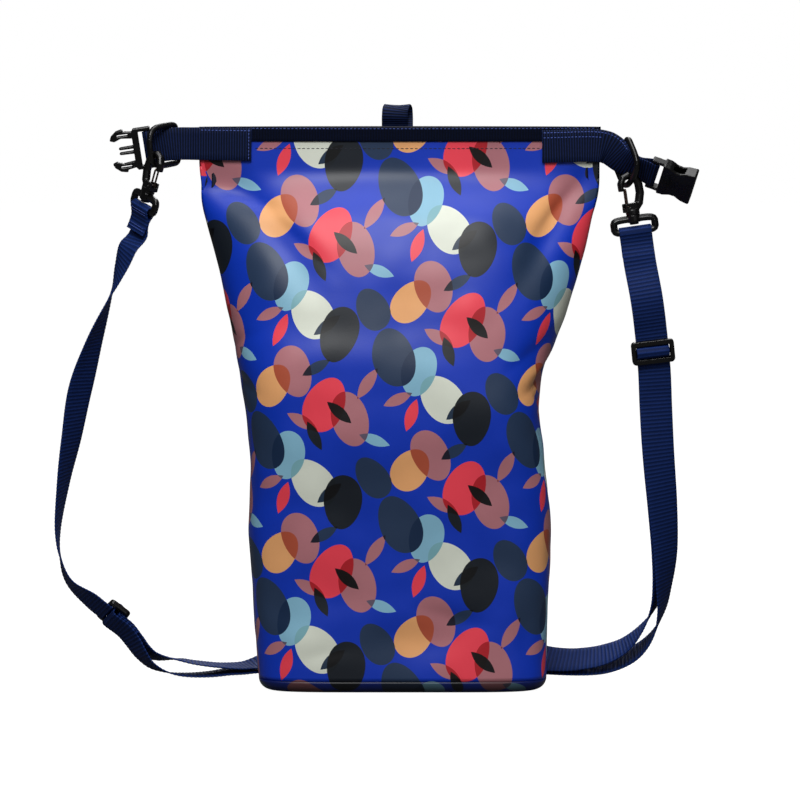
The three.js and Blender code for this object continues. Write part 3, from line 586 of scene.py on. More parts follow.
def wire_motif(w: Wiring, given: Sockets) -> Sockets:
    """Wires one printed shape, repeated in columns that step by half a repeat."""
    ends = {0: given["Place"], 1: given["Centre"]}
    x, y, _ = w.split(w.add("ShaderNodeVectorMath", ends, operation="SUBTRACT").outputs[0])
    wide, high, _ = w.split(given["Repeat"])
    half_x, half_y, _ = w.split(given["Half Size"])
    column_place = w.math("ADD", w.math("DIVIDE", x, wide), 0.5)
    column = w.math("FLOOR", column_place)
    across = w.math("MULTIPLY", w.math("SUBTRACT", w.math("FRACT", column_place), 0.5), wide)
    drop = w.math("MULTIPLY_ADD", w.math("FLOORED_MODULO", column, 2.0), 0.5, 0.5)
    row_place = w.math("ADD", w.math("DIVIDE", y, high), drop)
    upward = w.math("MULTIPLY", w.math("SUBTRACT", w.math("FRACT", row_place), 0.5), high)
    cosine, sine = w.math("COSINE", given["Turn"]), w.math("SINE", given["Turn"])
    turned_x = w.math("MULTIPLY_ADD", across, cosine, w.math("MULTIPLY", upward, sine))
    sideways = w.math("MULTIPLY", across, sine)
    turned_y = w.math("SUBTRACT", w.math("MULTIPLY", upward, cosine), sideways)
    share_y = w.math("DIVIDE", turned_y, half_y)
    narrowing = w.math("MULTIPLY_ADD", share_y, given["Taper"], 1.0)
    share_x = w.math("MULTIPLY", w.math("DIVIDE", turned_x, half_x), narrowing)
    rounded = w.math("MULTIPLY", share_x, share_x)
    sharper = w.math("SUBTRACT", w.math("ABSOLUTE", share_x), rounded)
    reach = w.math("MULTIPLY_ADD", sharper, given["Pointed"], rounded)
    room = w.math("SUBTRACT", 1.0, w.math("MULTIPLY", share_y, share_y))
    within = w.math("SUBTRACT", room, reach)
    return {
        "Ink": w.math("MULTIPLY_ADD", within, given["Crispness"], 1.5, clamp=True),
        "Cover": w.math("MULTIPLY_ADD", within, given["Crispness"], 0.5, clamp=True),
    }


def wire_weave(w: Wiring, given: Sockets) -> Sockets:
    """Wires woven threads: cross ribs dotted by the threads along the run, their crests painted
    lighter in the colour as a highlight.
    """
    across, along, _ = w.split(given["Place"])
    rib = w.wave(along, given["Rib Pitch"])
    thread = w.wave(across, given["Thread Pitch"])
    broken = w.math("MULTIPLY_ADD", thread, THREAD_SHOW, 1 - THREAD_SHOW)
    # Painted highlight: the dotted rib crests are coloured lighter; the height below gives the ribs
    # themselves.
    highlight_dots = w.math("MULTIPLY", w.math("POWER", rib, RIB_SHARPNESS), broken)
    painted_highlight = w.math("MULTIPLY", highlight_dots, given["Show"])
    return {
        "Color": w.mixed(painted_highlight, given["Ground"], given["Crest"]),
        "Height": w.math("MULTIPLY_ADD", thread, THREAD_RELIEF, rib),
    }


def wire_wear(w: Wiring, given: Sockets) -> Sockets:
    """Wires uneven handling: patches of slightly other tone and gloss, and fine grain."""
    place, scale = given["Place"], given["Scale"]
    patchy = {"Vector": place, "Scale": scale, "Detail": PATCH_DETAIL}
    patches = w.add("ShaderNodeTexNoise", patchy)
    finer = w.math("MULTIPLY", scale, GRAIN_FINENESS)
    grain = w.add("ShaderNodeTexNoise", {"Vector": place, "Scale": finer})
    uneven = w.math("SUBTRACT", patches.outputs[0], 0.5)
    brightness = w.math("MULTIPLY_ADD", uneven, given["Tone"], 1.0)
    scaled = {0: given["Color"], "Scale": brightness}
    return {
        "Color": w.add("ShaderNodeVectorMath", scaled, operation="SCALE").outputs[0],
        "Roughness": w.math("MULTIPLY_ADD", uneven, given["Gloss"], given["Roughness"]),
        "Height": grain.outputs[0],
    }


def wire_stitches(w: Wiring, given: Sockets) -> Sockets:
    """Wires a row of stitches: one stitch, laid again and again along the lines."""
    curve = w.add("GeometryNodeMeshToCurve", {"Mesh": given["Line"]}).outputs[0]
    steps = {"Curve": curve, "Length": given["Pitch"]}
    places = w.add("GeometryNodeResampleCurve", steps, mode="LENGTH").outputs[0]
    stitch = w.add("GeometryNodeMeshUVSphere", {"Segments": 8, "Rings": 5, "Radius": 0.5})
    sizes = [given[f"Stitch {measure}"] for measure in ("Length", "Width", "Height")]
    size = w.add("ShaderNodeCombineXYZ", dict(enumerate(sizes))).outputs[0]
    attribute = "GeometryNodeInputNamedAttribute"
    way = w.add(attribute, {"Name": STITCH_WAY}, data_type="FLOAT_VECTOR").outputs[0]
    turn = "FunctionNodeAlignRotationToVector"
    upright = w.add(turn, {"Vector": way}, axis="Z").outputs[0]
    run = {"Rotation": upright, "Vector": w.add("GeometryNodeInputTangent").outputs[0]}
    pointing = w.add(turn, run, axis="X", pivot_axis="Z").outputs[0]
    laying = {"Points": places, "Instance": stitch.outputs["Mesh"]}
    laying |= {"Rotation": pointing, "Scale": size}
    laid = w.add("GeometryNodeInstanceOnPoints", laying).outputs[0]
    solid = w.add("GeometryNodeRealizeInstances", {0: laid}).outputs[0]
    threaded = {"Geometry": solid, "Material": given["Thread"]}
    return {"Stitches": w.add("GeometryNodeSetMaterial", threaded).outputs[0]}


MOTIF_GROUP = SharedGroup(
    "print motif",
    Kind.VECTOR.named("Place", "Centre", "Repeat", "Half Size")
    | Kind.NUMBER.named("Turn", "Pointed", "Taper", "Crispness"),
    Kind.NUMBER.named("Ink", "Cover"),
    wire_motif,
)

# Woven threads: rib height, and a colour with a painted highlight on the rib crests.
WEAVE_GROUP = SharedGroup(
    "woven threads",
    Kind.VECTOR.named("Place")
    | Kind.NUMBER.named("Rib Pitch", "Thread Pitch", "Show")
    | Kind.COLOUR.named("Ground", "Crest"),
    Kind.COLOUR.named("Color") | Kind.NUMBER.named("Height"),
    wire_weave,
)

WEAR_GROUP = SharedGroup(
    "handling wear",
    Kind.VECTOR.named("Place")
    | Kind.COLOUR.named("Color")
    | Kind.NUMBER.named("Roughness", "Scale", "Tone", "Gloss"),
    Kind.COLOUR.named("Color") | Kind.NUMBER.named("Roughness", "Height"),
    wire_wear,
)

STITCH_GROUP = SharedGroup(
    "stitch row",
    Kind.GEOMETRY.named("Line")
    | Kind.NUMBER.named("Pitch", "Stitch Length", "Stitch Width", "Stitch Height")
    | Kind.MATERIAL.named("Thread"),
    Kind.GEOMETRY.named("Stitches"),
    wire_stitches,
    "GeometryNodeTree",
)


@dataclass(frozen=True)
class Wear:
    """Uneven handling: fineness of its patches, and how far they change tone and gloss."""

    scale: float
    tone: float
    gloss: float


@dataclass(frozen=True)
class Grain:
    """Fine roughness of a surface: its strength, and its depth in metres."""

    strength: float
    depth: float


class Surface:
    """Material under construction: its wiring and its shader."""

    def __init__(self, name: str) -> None:
        """Starts a material with one shader."""
        self.material = bpy.data.materials.new(name)
        self.material.use_nodes = True
        self.material.node_tree.nodes.clear()
        self.wiring = Wiring(self.material.node_tree)
        self.shader = self.wiring.add("ShaderNodeBsdfPrincipled")
        self.wiring.add("ShaderNodeOutputMaterial", {"Surface": self.shader.outputs[0]})

    def set(self, **values: Value) -> None:
        """Sets shader inputs; underscores stand for spaces in their names."""
        for name, value in spaced(values).items():
            self.wiring.feed(self.shader.inputs[name], value)

    def cloth_place(self) -> NodeSocket:
        """Place on the cloth, from the piece's map."""
        return self.wiring.add("ShaderNodeUVMap", uv_map=UV_NAME).outputs[0]

    def colour(self, colour: Value, roughness: float, wear: Wear) -> NodeSocket:
        """Colours the shader, unevenly worn.

        Args:
            colour: Colour when new.
            roughness: Roughness when new.
            wear: The handling.

        Returns:
            Height of the fine grain.
        """
        worn = self.wiring.group(
            WEAR_GROUP,
            Place=self.wiring.add("ShaderNodeTexCoord").outputs["Object"],
            Color=colour,
            Roughness=roughness,
            Scale=wear.scale,
            Tone=wear.tone,
            Gloss=wear.gloss,
        )
        self.set(Base_Color=worn["Color"], Roughness=worn["Roughness"])
        return worn["Height"]

    def roughen(self, height: NodeSocket, grain: Grain) -> None:
        """Roughens the shader's normal with a height."""
        inputs = {"Strength": grain.strength, "Distance": grain.depth, "Height": height}
        self.set(Normal=self.wiring.add("ShaderNodeBump", inputs).outputs[0])


@dataclass(frozen=True)
class PlainFinish:
    """Finish of one colour, such as moulded plastic or thread."""

    name: str
    tone: Triple
    roughness: float
    wear: Wear
    grain: Grain | None = None
    metallic: float = 0.0

    def material(self) -> Material:
        """Makes the finish."""
        surface = Surface(self.name)
        height = surface.colour(linear(self.tone), self.roughness, self.wear)
        surface.set(Metallic=self.metallic)
        if self.grain:
            surface.roughen(height, self.grain)
        return surface.material


@dataclass(frozen=True)
class PrintedCloth:
    """Coated cloth with overlapping translucent shapes on a royal blue ground, darkened towards
    black where shade is painted in.
    """

    name: str = "printed cloth"
    # Share of the print's brightness kept: 1 paints no shade, lower values paint shade into the
    # colour.
    shade: float = 1.0
    repeat: tuple[float, float] = (103.0, 128.0)
    crispness: float = 40.0
    roughness: float = 0.43
    specular: float = 0.4
    coat: float = 0.08
    coat_roughness: float = 0.32
    wear: Wear = Wear(22.0, 0.26, 0.2)
    grain: Grain = Grain(0.12, 0.0003)

    def printed(self, surface: Surface) -> NodeSocket:
        """Colour of the print, with all its shapes."""
        w, place = surface.wiring, surface.cloth_place()
        layer: Value = WHITE
        cover: Value = 0.0
        for motif in MOTIFS:
            shape = w.group(
                MOTIF_GROUP,
                Place=place,
                Centre=(motif.x * MM, motif.y * MM, 0.0),
                Repeat=(self.repeat[0] * MM, self.repeat[1] * MM, 0.0),
                Half_Size=(motif.half_width * MM, motif.half_height * MM, 0.0),
                Turn=math.radians(motif.turn),
                Pointed=motif.pointed,
                Taper=motif.taper,
                Crispness=self.crispness,
            )
            layer = w.mixed(shape["Ink"], layer, linear(motif.ink.value), "MULTIPLY")
            cover = w.math("MAXIMUM", cover, shape["Cover"])
        return w.mixed(cover, linear(Ink.ROYAL.value), layer)

    def material(self) -> Material:
        """Makes the finish."""
        surface = Surface(self.name)
        # Painted shade: the print is mixed towards black by the shade share.
        shaded = surface.wiring.mixed(self.shade, BLACK, self.printed(surface))
        height = surface.colour(shaded, self.roughness, self.wear)
        surface.set(Specular_IOR_Level=self.specular)
        surface.set(Coat_Weight=self.coat, Coat_Roughness=self.coat_roughness)
        surface.roughen(height, self.grain)
        return surface.material


@dataclass(frozen=True)
class WovenWebbing:
    """Navy webbing with cross ribs, their crests painted lighter as a highlight."""

    name: str
    rib_pitch: float
    ground: Triple = (0.06, 0.14, 0.33)
    # Colour of the painted highlight on the rib crests, and how far it is mixed in.
    crest_highlight: Triple = (0.17, 0.30, 0.65)
    highlight_share: float = 0.5
    specular: float = 0.12
    thread_pitch: float = 0.95
    roughness: float = 0.62
    wear: Wear = Wear(60.0, 0.3, 0.1)
    grain: Grain = Grain(0.5, 0.0002)

    def material(self) -> Material:
        """Makes the finish."""
        surface = Surface(self.name)
        woven = surface.wiring.group(
            WEAVE_GROUP,
            Place=surface.cloth_place(),
            Rib_Pitch=self.rib_pitch * MM,
            Thread_Pitch=self.thread_pitch * MM,
            Ground=linear(self.ground),
            Crest=linear(self.crest_highlight),
            Show=self.highlight_share,
        )
        surface.colour(woven["Color"], self.roughness, self.wear)
        surface.set(Specular_IOR_Level=self.specular)
        surface.roughen(woven["Height"], self.grain)
        return surface.material


THREAD_WEAR = Wear(300.0, 0.3, 0.1)


class Finish(Enum):
    """All the bag's finishes."""

    PRINTED = PrintedCloth()
    # The base is painted dark as shade. It keeps 0.22 of the print's brightness, standing in for
    # the shadow on its downward-facing rounded edge.
    BASE = PrintedCloth("base cloth with painted shade", shade=0.22)
    LINING = PlainFinish(
        "cloth lining", (0.07, 0.08, 0.16), 0.7, Wear(20.0, 0.2, 0.1), Grain(0.15, 0.0003)
    )
    STRAP = WovenWebbing("strap webbing", STRAP_RIB)
    # The tabs and the mouth tape get a darker ground than the strap as painted shade, for the
    # shadow they sit in. The tab's lighter second colour is its painted rib highlight.
    TAB = WovenWebbing("tab webbing", TAB_RIB, (0.03, 0.06, 0.14), (0.13, 0.23, 0.50), highlight_share=0.6)
    TAPE = WovenWebbing("mouth tape", TAPE_RIB, (0.025, 0.035, 0.07), highlight_share=0.12, specular=0.05)
    PLASTIC = PlainFinish(
        "moulded plastic", (0.02, 0.02, 0.023), 0.28, Wear(90.0, 0.2, 0.2), Grain(0.06, 0.0001)
    )
    WIRE = PlainFinish(
        "spring wire", (0.36, 0.31, 0.28), 0.3, Wear(200.0, 0.3, 0.2), metallic=0.9
    )
    LIGHT_THREAD = PlainFinish("light thread", (0.25, 0.34, 0.66), 0.55, THREAD_WEAR)
    DARK_THREAD = PlainFinish("dark thread", (0.05, 0.06, 0.14), 0.55, THREAD_WEAR)

    def material(self) -> Material:
        """The finish's material, made on its first use."""
        return bpy.data.materials.get(self.value.name) or self.value.material()


def add_object(name: str, data: ID) -> Object:
    """Puts a mesh, lamp or camera in the scene at the origin."""
    piece = bpy.data.objects.new(name, data)
    bpy.context.scene.collection.objects.link(piece)
    return piece


def grid_object(
    name: str, rows: Array, uv: Array, join_rows: bool, finishes: Sequence[Finish]
) -> Object:
    """Makes a smooth tube-like piece from a grid of points whose columns close on themselves.

    Args:
        name: Name of the piece.
        rows: Points in millimetres, by row and column.
        uv: Cloth place of each point in millimetres, with the first column again at the end.
        join_rows: Whether the last row joins the first; the end rows are filled if not.
        finishes: Finishes, the first of them on every face.

    Returns:
        The piece.
    """
    count, columns = rows.shape[:2]
    r = np.arange(count if join_rows else count - 1)[:, None]
    c = np.arange(columns)[None, :]
    up, along = (r + 1) % count, (c + 1) % columns
    corners = [r * columns + c, r * columns + along, up * columns + along, up * columns + c]
    faces = np.stack(np.broadcast_arrays(*corners), axis=-1).reshape(-1, 4).tolist()
    seen = [uv[r, c], uv[r, c + 1], uv[up, c + 1], uv[up, c]]
    loops = [np.stack(np.broadcast_arrays(*seen), axis=2).reshape(-1, 2)]
    if not join_rows:
        ring = np.arange(columns)
        faces += [ring[::-1].tolist(), ((count - 1) * columns + ring).tolist()]
        loops += [uv[0, :columns][::-1], uv[-1, :columns]]
    mesh = bpy.data.meshes.new(name)
    mesh.from_pydata((rows.reshape(-1, 3) * MM).tolist(), [], faces)
    layer = mesh.uv_layers.new(name=UV_NAME)
    layer.uv.foreach_set("vector", (np.vstack(loops) * MM).ravel())
    for finish in finishes:
        mesh.materials.append(finish.material())
    mesh.shade_smooth()
    return add_object(name, mesh)


def settled(piece: Object) -> Object:
    """Turns a piece's modifiers into plain smooth mesh."""
    graph = bpy.context.evaluated_depsgraph_get()
    mesh = bpy.data.meshes.new_from_object(piece.evaluated_get(graph), depsgraph=graph)
    piece.modifiers.clear()
    old = piece.data
    piece.data = mesh
    bpy.data.meshes.remove(old)
    mesh.name = piece.name
    mesh.shade_smooth()
    return piece


def adopt(piece: Object, body: str, slot: Slot, *nodes: str) -> None:
    """Gives a finished piece to a body of the frame, in place of the nodes it stands for."""
    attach(piece, body)
    if nodes:
        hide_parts(*nodes)
    log.info("%s: %d faces on %s", piece.name, len(piece.data.polygons), body)


@dataclass
class ClothTube:
    """Printed cloth tube, boxed by its base below and flat at its mouth."""

    girth: float = 618.0
    seam_height: float = 9.0
    rim_height: float = 431.0
    cloth: float = 1.2
    binding: float = 10.0
    steps_round: int = 256
    steps_up: int = 140
    hem_fineness: int = 4
    outline_steps: int = 1440
    tolerance: float = 0.001
    calm: tuple[float, ...] = (12.0, 42.0, 364.0, 404.0)

    def outline(
        self, section: Section, half_width: float, inset: tuple[float, float], steps: int
    ) -> Array:
        """Plan outline of a section in equal steps, anticlockwise from the middle of the front.

        Args:
            section: The section.
            half_width: Half its width.
            inset: How much smaller the half width and half depth are drawn.
            steps: Number of points.

        Returns:
            The plan points.
        """
        dense = self.dense_outline(section, half_width - inset[0], section.half_depth - inset[1])
        length = running_length(dense)
        return read_along(dense, length, length[-1] * np.arange(steps) / steps)

    def dense_outline(self, section: Section, half_width: float, half_depth: float) -> Array:
        """Closely spaced plan points of a section."""
        angle = np.linspace(-0.5 * math.pi, 1.5 * math.pi, self.outline_steps + 1)
        c, s = np.cos(angle), np.sin(angle)
        x = half_width * np.sign(c) * np.abs(c) ** (2 / section.sides)
        y = half_depth * np.sign(s) * np.abs(s) ** (2 / section.faces)
        return np.stack([x + section.shift, y], axis=1)

    def section_at(self, z: float) -> Section:
        """Section between the table's rows."""
        heights = [row.z for row in SECTIONS]
        values = [
            float(eased(heights, [getattr(row, name) for row in SECTIONS], np.array(z)))
            for name in ("half_depth", "sides", "faces", "edge", "shift")
        ]
        return Section(z, *values)

    def half_width(self, section: Section) -> float:
        """Half width that gives a section the cloth's girth."""
        low, high = self.girth / 8, self.girth / 4
        while high - low > self.tolerance:
            middle = (low + high) / 2
            outline = self.dense_outline(section, middle, section.half_depth)
            if running_length(outline)[-1] < self.girth:
                low = middle
            else:
                high = middle
        return low

    def pressed_in(self, girth: Array, z: float) -> Array:
        """How far the folds press the cloth in."""
        depth = np.zeros_like(girth)
        for fold in FOLDS:
            round_it = (girth - fold.girth + 1.5 * self.girth) % self.girth - self.girth / 2
            lean = math.radians(fold.lean)
            along = round_it * math.cos(lean) + (z - fold.z) * math.sin(lean)
            over = (z - fold.z) * math.cos(lean) - round_it * math.sin(lean)
            reach = (along / fold.across) ** 2 + np.abs(over / fold.up) ** fold.crisp
            depth += fold.depth * np.exp(-reach)
        return depth

    def unevenness(self, ring: Array, z: float) -> Array:
        """Slight waves of the cloth, none at its seam and its mouth."""
        height = np.zeros(len(ring))
        for wave in WAVES:
            places = [Vector((x / wave.length, y / wave.length, z / wave.rise)) for x, y in ring]
            height += wave.height * np.array([noise.noise(place) for place in places])
        return height * np.interp(z, self.calm, (0, 1, 1, 0))

    def wall(self, z: float, steps: int) -> tuple[Array, Array, Array]:
        """Outer and inner ring of the wall at a height, and the way out of it."""
        section = self.section_at(z)
        half_width = self.half_width(section)
        outer = self.outline(section, half_width, (0, 0), steps)
        inner = self.outline(section, half_width, (section.edge, self.cloth), steps)
        step = np.roll(outer, -1, axis=0) - np.roll(outer, 1, axis=0)
        out = unit(np.stack([step[:, 1], -step[:, 0]], axis=1))
        girth = self.girth * np.arange(steps) / steps
        moved = out * (self.unevenness(outer, z) - self.pressed_in(girth, z))[:, None]
        return outer + moved, inner + moved, out

    def girth_places(self, steps: int) -> Array:
        """Distances round the cloth from the middle of the front, all the way round."""
        return self.girth * np.arange(steps + 1) / steps

    def build(self) -> None:
        """Makes the tube with its lining."""
        heights = np.linspace(self.seam_height, self.rim_height, self.steps_up + 1)
        walls = [self.wall(z, self.steps_round) for z in heights]
        outer = [at_height(wall[0], z) for wall, z in zip(walls, heights)]
        inner = [at_height(wall[1], z) for wall, z in zip(walls, heights)]
        rows = np.array(outer + inner[::-1])
        row_heights = np.concatenate([heights, heights[::-1]])
        uv = cloth_map(self.girth_places(self.steps_round), row_heights)
        finishes = (Finish.PRINTED, Finish.LINING, Finish.TAPE)
        tube = grid_object("cloth_tube", rows, uv, True, finishes)
        finish = np.zeros(len(tube.data.polygons), dtype=np.int32)
        inside = len(heights) * self.steps_round
        finish[inside : 2 * inside - self.steps_round] = finishes.index(Finish.LINING)
        bound = int(np.searchsorted(heights, self.rim_height - self.binding))
        finish[bound * self.steps_round : inside] = finishes.index(Finish.TAPE)
        tube.data.polygons.foreach_set("material_index", finish)
        adopt(tube, BAG, Slot.PRINTED, "bag_front", "bag_back")

    def hem_line(self, z: float, reach: float, facing: int) -> tuple[Array, Array]:
        """Level line on the front or back wall, with the way out of it.

        Args:
            z: Height of the line.
            reach: Half its length across the mouth.
            facing: -1 for the front and 1 for the back.

        Returns:
            The line's points and the way out at each.
        """
        outer, _, out = self.wall(z, self.hem_fineness * self.steps_round)
        chosen = (outer[:, 1] * facing > 0) & (np.abs(outer[:, 0]) < reach)
        order = np.argsort(outer[chosen][:, 0])
        return at_height(outer[chosen], z)[order], at_height(out[chosen], 0.0)[order]

    def rim_depth(self, x: Array) -> Array:
        """Depth of the mouth's outer wall at places across it."""
        section = self.section_at(self.rim_height)
        share = np.minimum(np.abs(x) / self.rim_half_width(), 1)
        return section.half_depth * (1 - share**section.sides) ** (1 / section.faces)

    def rim_half_width(self) -> float:
        """Half the width of the mouth."""
        return self.half_width(self.section_at(self.rim_height))


@dataclass
class BasePanel:
    """Printed base: a flat tray whose rounded edge meets the tube."""

    tube: ClothTube
    edge: float = 9.0
    gap: float = 0.3
    edge_steps: int = 10
    steps_round: int = 256
    flat_rings: tuple[float, ...] = (0.9, 0.5, 0.15)

    def profile(self, wall: float) -> SideView:
        """Inset and height of the rounded edge, from the flat bottom up to the seam."""
        top = self.tube.seam_height - self.gap
        angles = np.radians(np.linspace(90, 0, self.edge_steps + 1))
        insets = wall + (self.edge - wall) * (1 - np.cos(angles))
        heights = top - (top - wall) * np.sin(angles)
        return list(zip(insets.tolist(), heights.tolist()))

    def build(self) -> None:
        """Makes the base."""
        section = self.tube.section_at(self.tube.seam_height)
        half_width = self.tube.half_width(section)
        flat = section.half_depth - self.edge
        under = [(self.edge + share * flat, 0.0) for share in self.flat_rings]
        over = [(inset, self.tube.cloth) for inset, _ in reversed(under)]
        places = under + self.profile(0) + self.profile(self.tube.cloth)[::-1] + over
        rows = [
            at_height(self.tube.outline(section, half_width, (inset,) * 2, self.steps_round), z)
            for inset, z in places
        ]
        drops = np.array([z - inset for inset, z in places])
        uv = cloth_map(self.tube.girth_places(self.steps_round), drops)
        # The base's finish has shade painted into its colour.
        base = grid_object("base", np.array(rows), uv, False, [Finish.BASE])
        adopt(base, BAG, Slot.PRINTED, "base_panel")


@dataclass
class Course:
    """Middle line of a strap or tab, and how the webbing is turned about it."""

    bends: Sequence[Bend]
    finer: int = 60

    def __post_init__(self) -> None:
        """Draws the line and measures it."""
        points = np.array([(b.x, b.y, b.z) for b in self.bends], float)
        self.line = curve_through(points, self.finer)
        self.measure = running_length(self.line)
        self.way = unit(np.gradient(self.line, self.measure, axis=0))
        self.bend_places = self.measure[:: self.finer]
        self.length = float(self.measure[-1])

    def frames(self, at: Array) -> tuple[Array, Array, Array]:
        """Middle points, width directions and face directions at places along the course."""
        held = np.clip(at, 0, self.length)
        along = unit(read_along(self.way, self.measure, held))
        point = read_along(self.line, self.measure, held) + along * (at - held)[:, None]
        level = unit(np.cross(along, np.array([0.0, 1.0, 0.0])))
        back = np.cross(level, along)
        turn = np.radians(eased(self.bend_places, [b.turn for b in self.bends], at))[:, None]
        across = level * np.cos(turn) + back * np.sin(turn)
        return point, across, np.cross(along, across)

    def stations(self, side: SideView, step: float) -> tuple[Array, Array]:
        """Webbing points and width directions that follow a side view of the course.

        Args:
            side: Places along the course and heights off it.
            step: Distance between stations.

        Returns:
            The points and the directions of the width.
        """
        run = even_run(np.array(side, float), step)
        point, across, face = self.frames(run[:, 0])
        return point + face * run[:, 1:], across


@dataclass
class Ribbon:
    """Flat woven piece with rounded edges and raised cross ribs."""

    name: str
    points: Array
    across: Array
    width: float = WEBBING_WIDTH
    thickness: float = WEBBING_THICK
    rib_pitch: float = STRAP_RIB
    rib_height: float = 0.11
    rib_sink: float = 0.6
    seam_step: float = 0.8

    def __post_init__(self) -> None:
        """Finds the way along and out of the webbing, and measures it."""
        self.measure = running_length(self.points)
        self.length = float(self.measure[-1])
        along = unit(np.gradient(self.points, axis=0))
        self.across = unit(self.across - along * np.sum(self.across * along, axis=1, keepdims=True))
        self.out = np.cross(along, self.across)

    def profile(self) -> tuple[Array, Array]:
        """Cross-section: places across in millimetres, and shares of half the thickness."""
        edge = self.width / 2
        half = [(edge - 0.45, 1.0), (edge * 0.62, 1.0), (edge * 0.2, 1.0)]
        top = half + [(-x, v) for x, v in reversed(half)]
        right = [(edge - 0.1, -0.6), (edge, 0.0), (edge - 0.1, 0.6)]
        ring = np.array(right + top + [(-x, -v) for x, v in right + top])
        return ring[:, 0], ring[:, 1]

    def build(self, finish: Finish, node: str) -> None:
        """Makes the webbing in place of its frame node."""
        across, share = self.profile()
        rib = np.cos(math.tau * self.measure / self.rib_pitch)
        thick = self.thickness / 2 + self.rib_height * (rib - self.rib_sink)
        rows = (
            self.points[:, None]
            + self.across[:, None] * across[None, :, None]
            + self.out[:, None] * (share[None, :] * thick[:, None])[..., None]
        )
        uv = cloth_map(np.append(across, across[0]), self.measure)
        adopt(grid_object(self.name, rows, uv, False, [finish]), BAG, Slot.WEBBING, node)

    def line(self, places: Iterable[tuple[float, float]], face: Face) -> tuple[Array, Array]:
        """Sewing line on a face of the webbing.

        Args:
            places: Corners of the line, as distance along the webbing and across it.
            face: The face it lies on.

        Returns:
            The line's points and the way out at each.
        """
        corners = np.array(list(places), float)
        length = running_length(corners)
        fine = read_along(corners, length, even_places(0, length[-1], self.seam_step))
        at, offset = fine[:, 0], fine[:, 1:]
        out = unit(read_along(self.out, self.measure, at)) * face.value
        lift = self.thickness / 2 + self.rib_height * (1 - self.rib_sink)
        middle = read_along(self.points, self.measure, at)
        return middle + read_along(self.across, self.measure, at) * offset + out * lift, out


@dataclass
class StitchRow:
    """Rows of stitches along lines, made as one piece."""

    name: str
    thread: Finish = Finish.LIGHT_THREAD
    pitch: float = 3.2
    length: float = 2.4
    width: float = 0.75
    height: float = 0.5
    lines: list[tuple[Array, Array]] = field(default_factory=list)

    def build(self, slot: Slot = Slot.WEBBING) -> None:
        """Makes the stitches of all the lines."""
        edges: list[tuple[int, int]] = []
        first = 0
        for line, _ in self.lines:
            edges += [(k, k + 1) for k in range(first, first + len(line) - 1)]
            first += len(line)
        mesh = bpy.data.meshes.new(self.name)
        mesh.from_pydata((np.vstack([line for line, _ in self.lines]) * MM).tolist(), edges, [])
        ways = np.vstack([way for _, way in self.lines]).astype(np.float32)
        attribute = mesh.attributes.new(STITCH_WAY, "FLOAT_VECTOR", "POINT")
        attribute.data.foreach_set("vector", ways.ravel())
        piece = add_object(self.name, mesh)
        modifier = piece.modifiers.new("stitches", "NODES")
        modifier.node_group = STITCH_GROUP.tree()
        settings = {
            "Pitch": self.pitch * MM,
            "Stitch Length": self.length * MM,
            "Stitch Width": self.width * MM,
            "Stitch Height": self.height * MM,
            "Thread": self.thread.material(),
        }
        for item in modifier.node_group.interface.items_tree:
            if item.name in settings:
                modifier[item.identifier] = settings[item.name]
        adopt(settled(piece), BAG, slot)


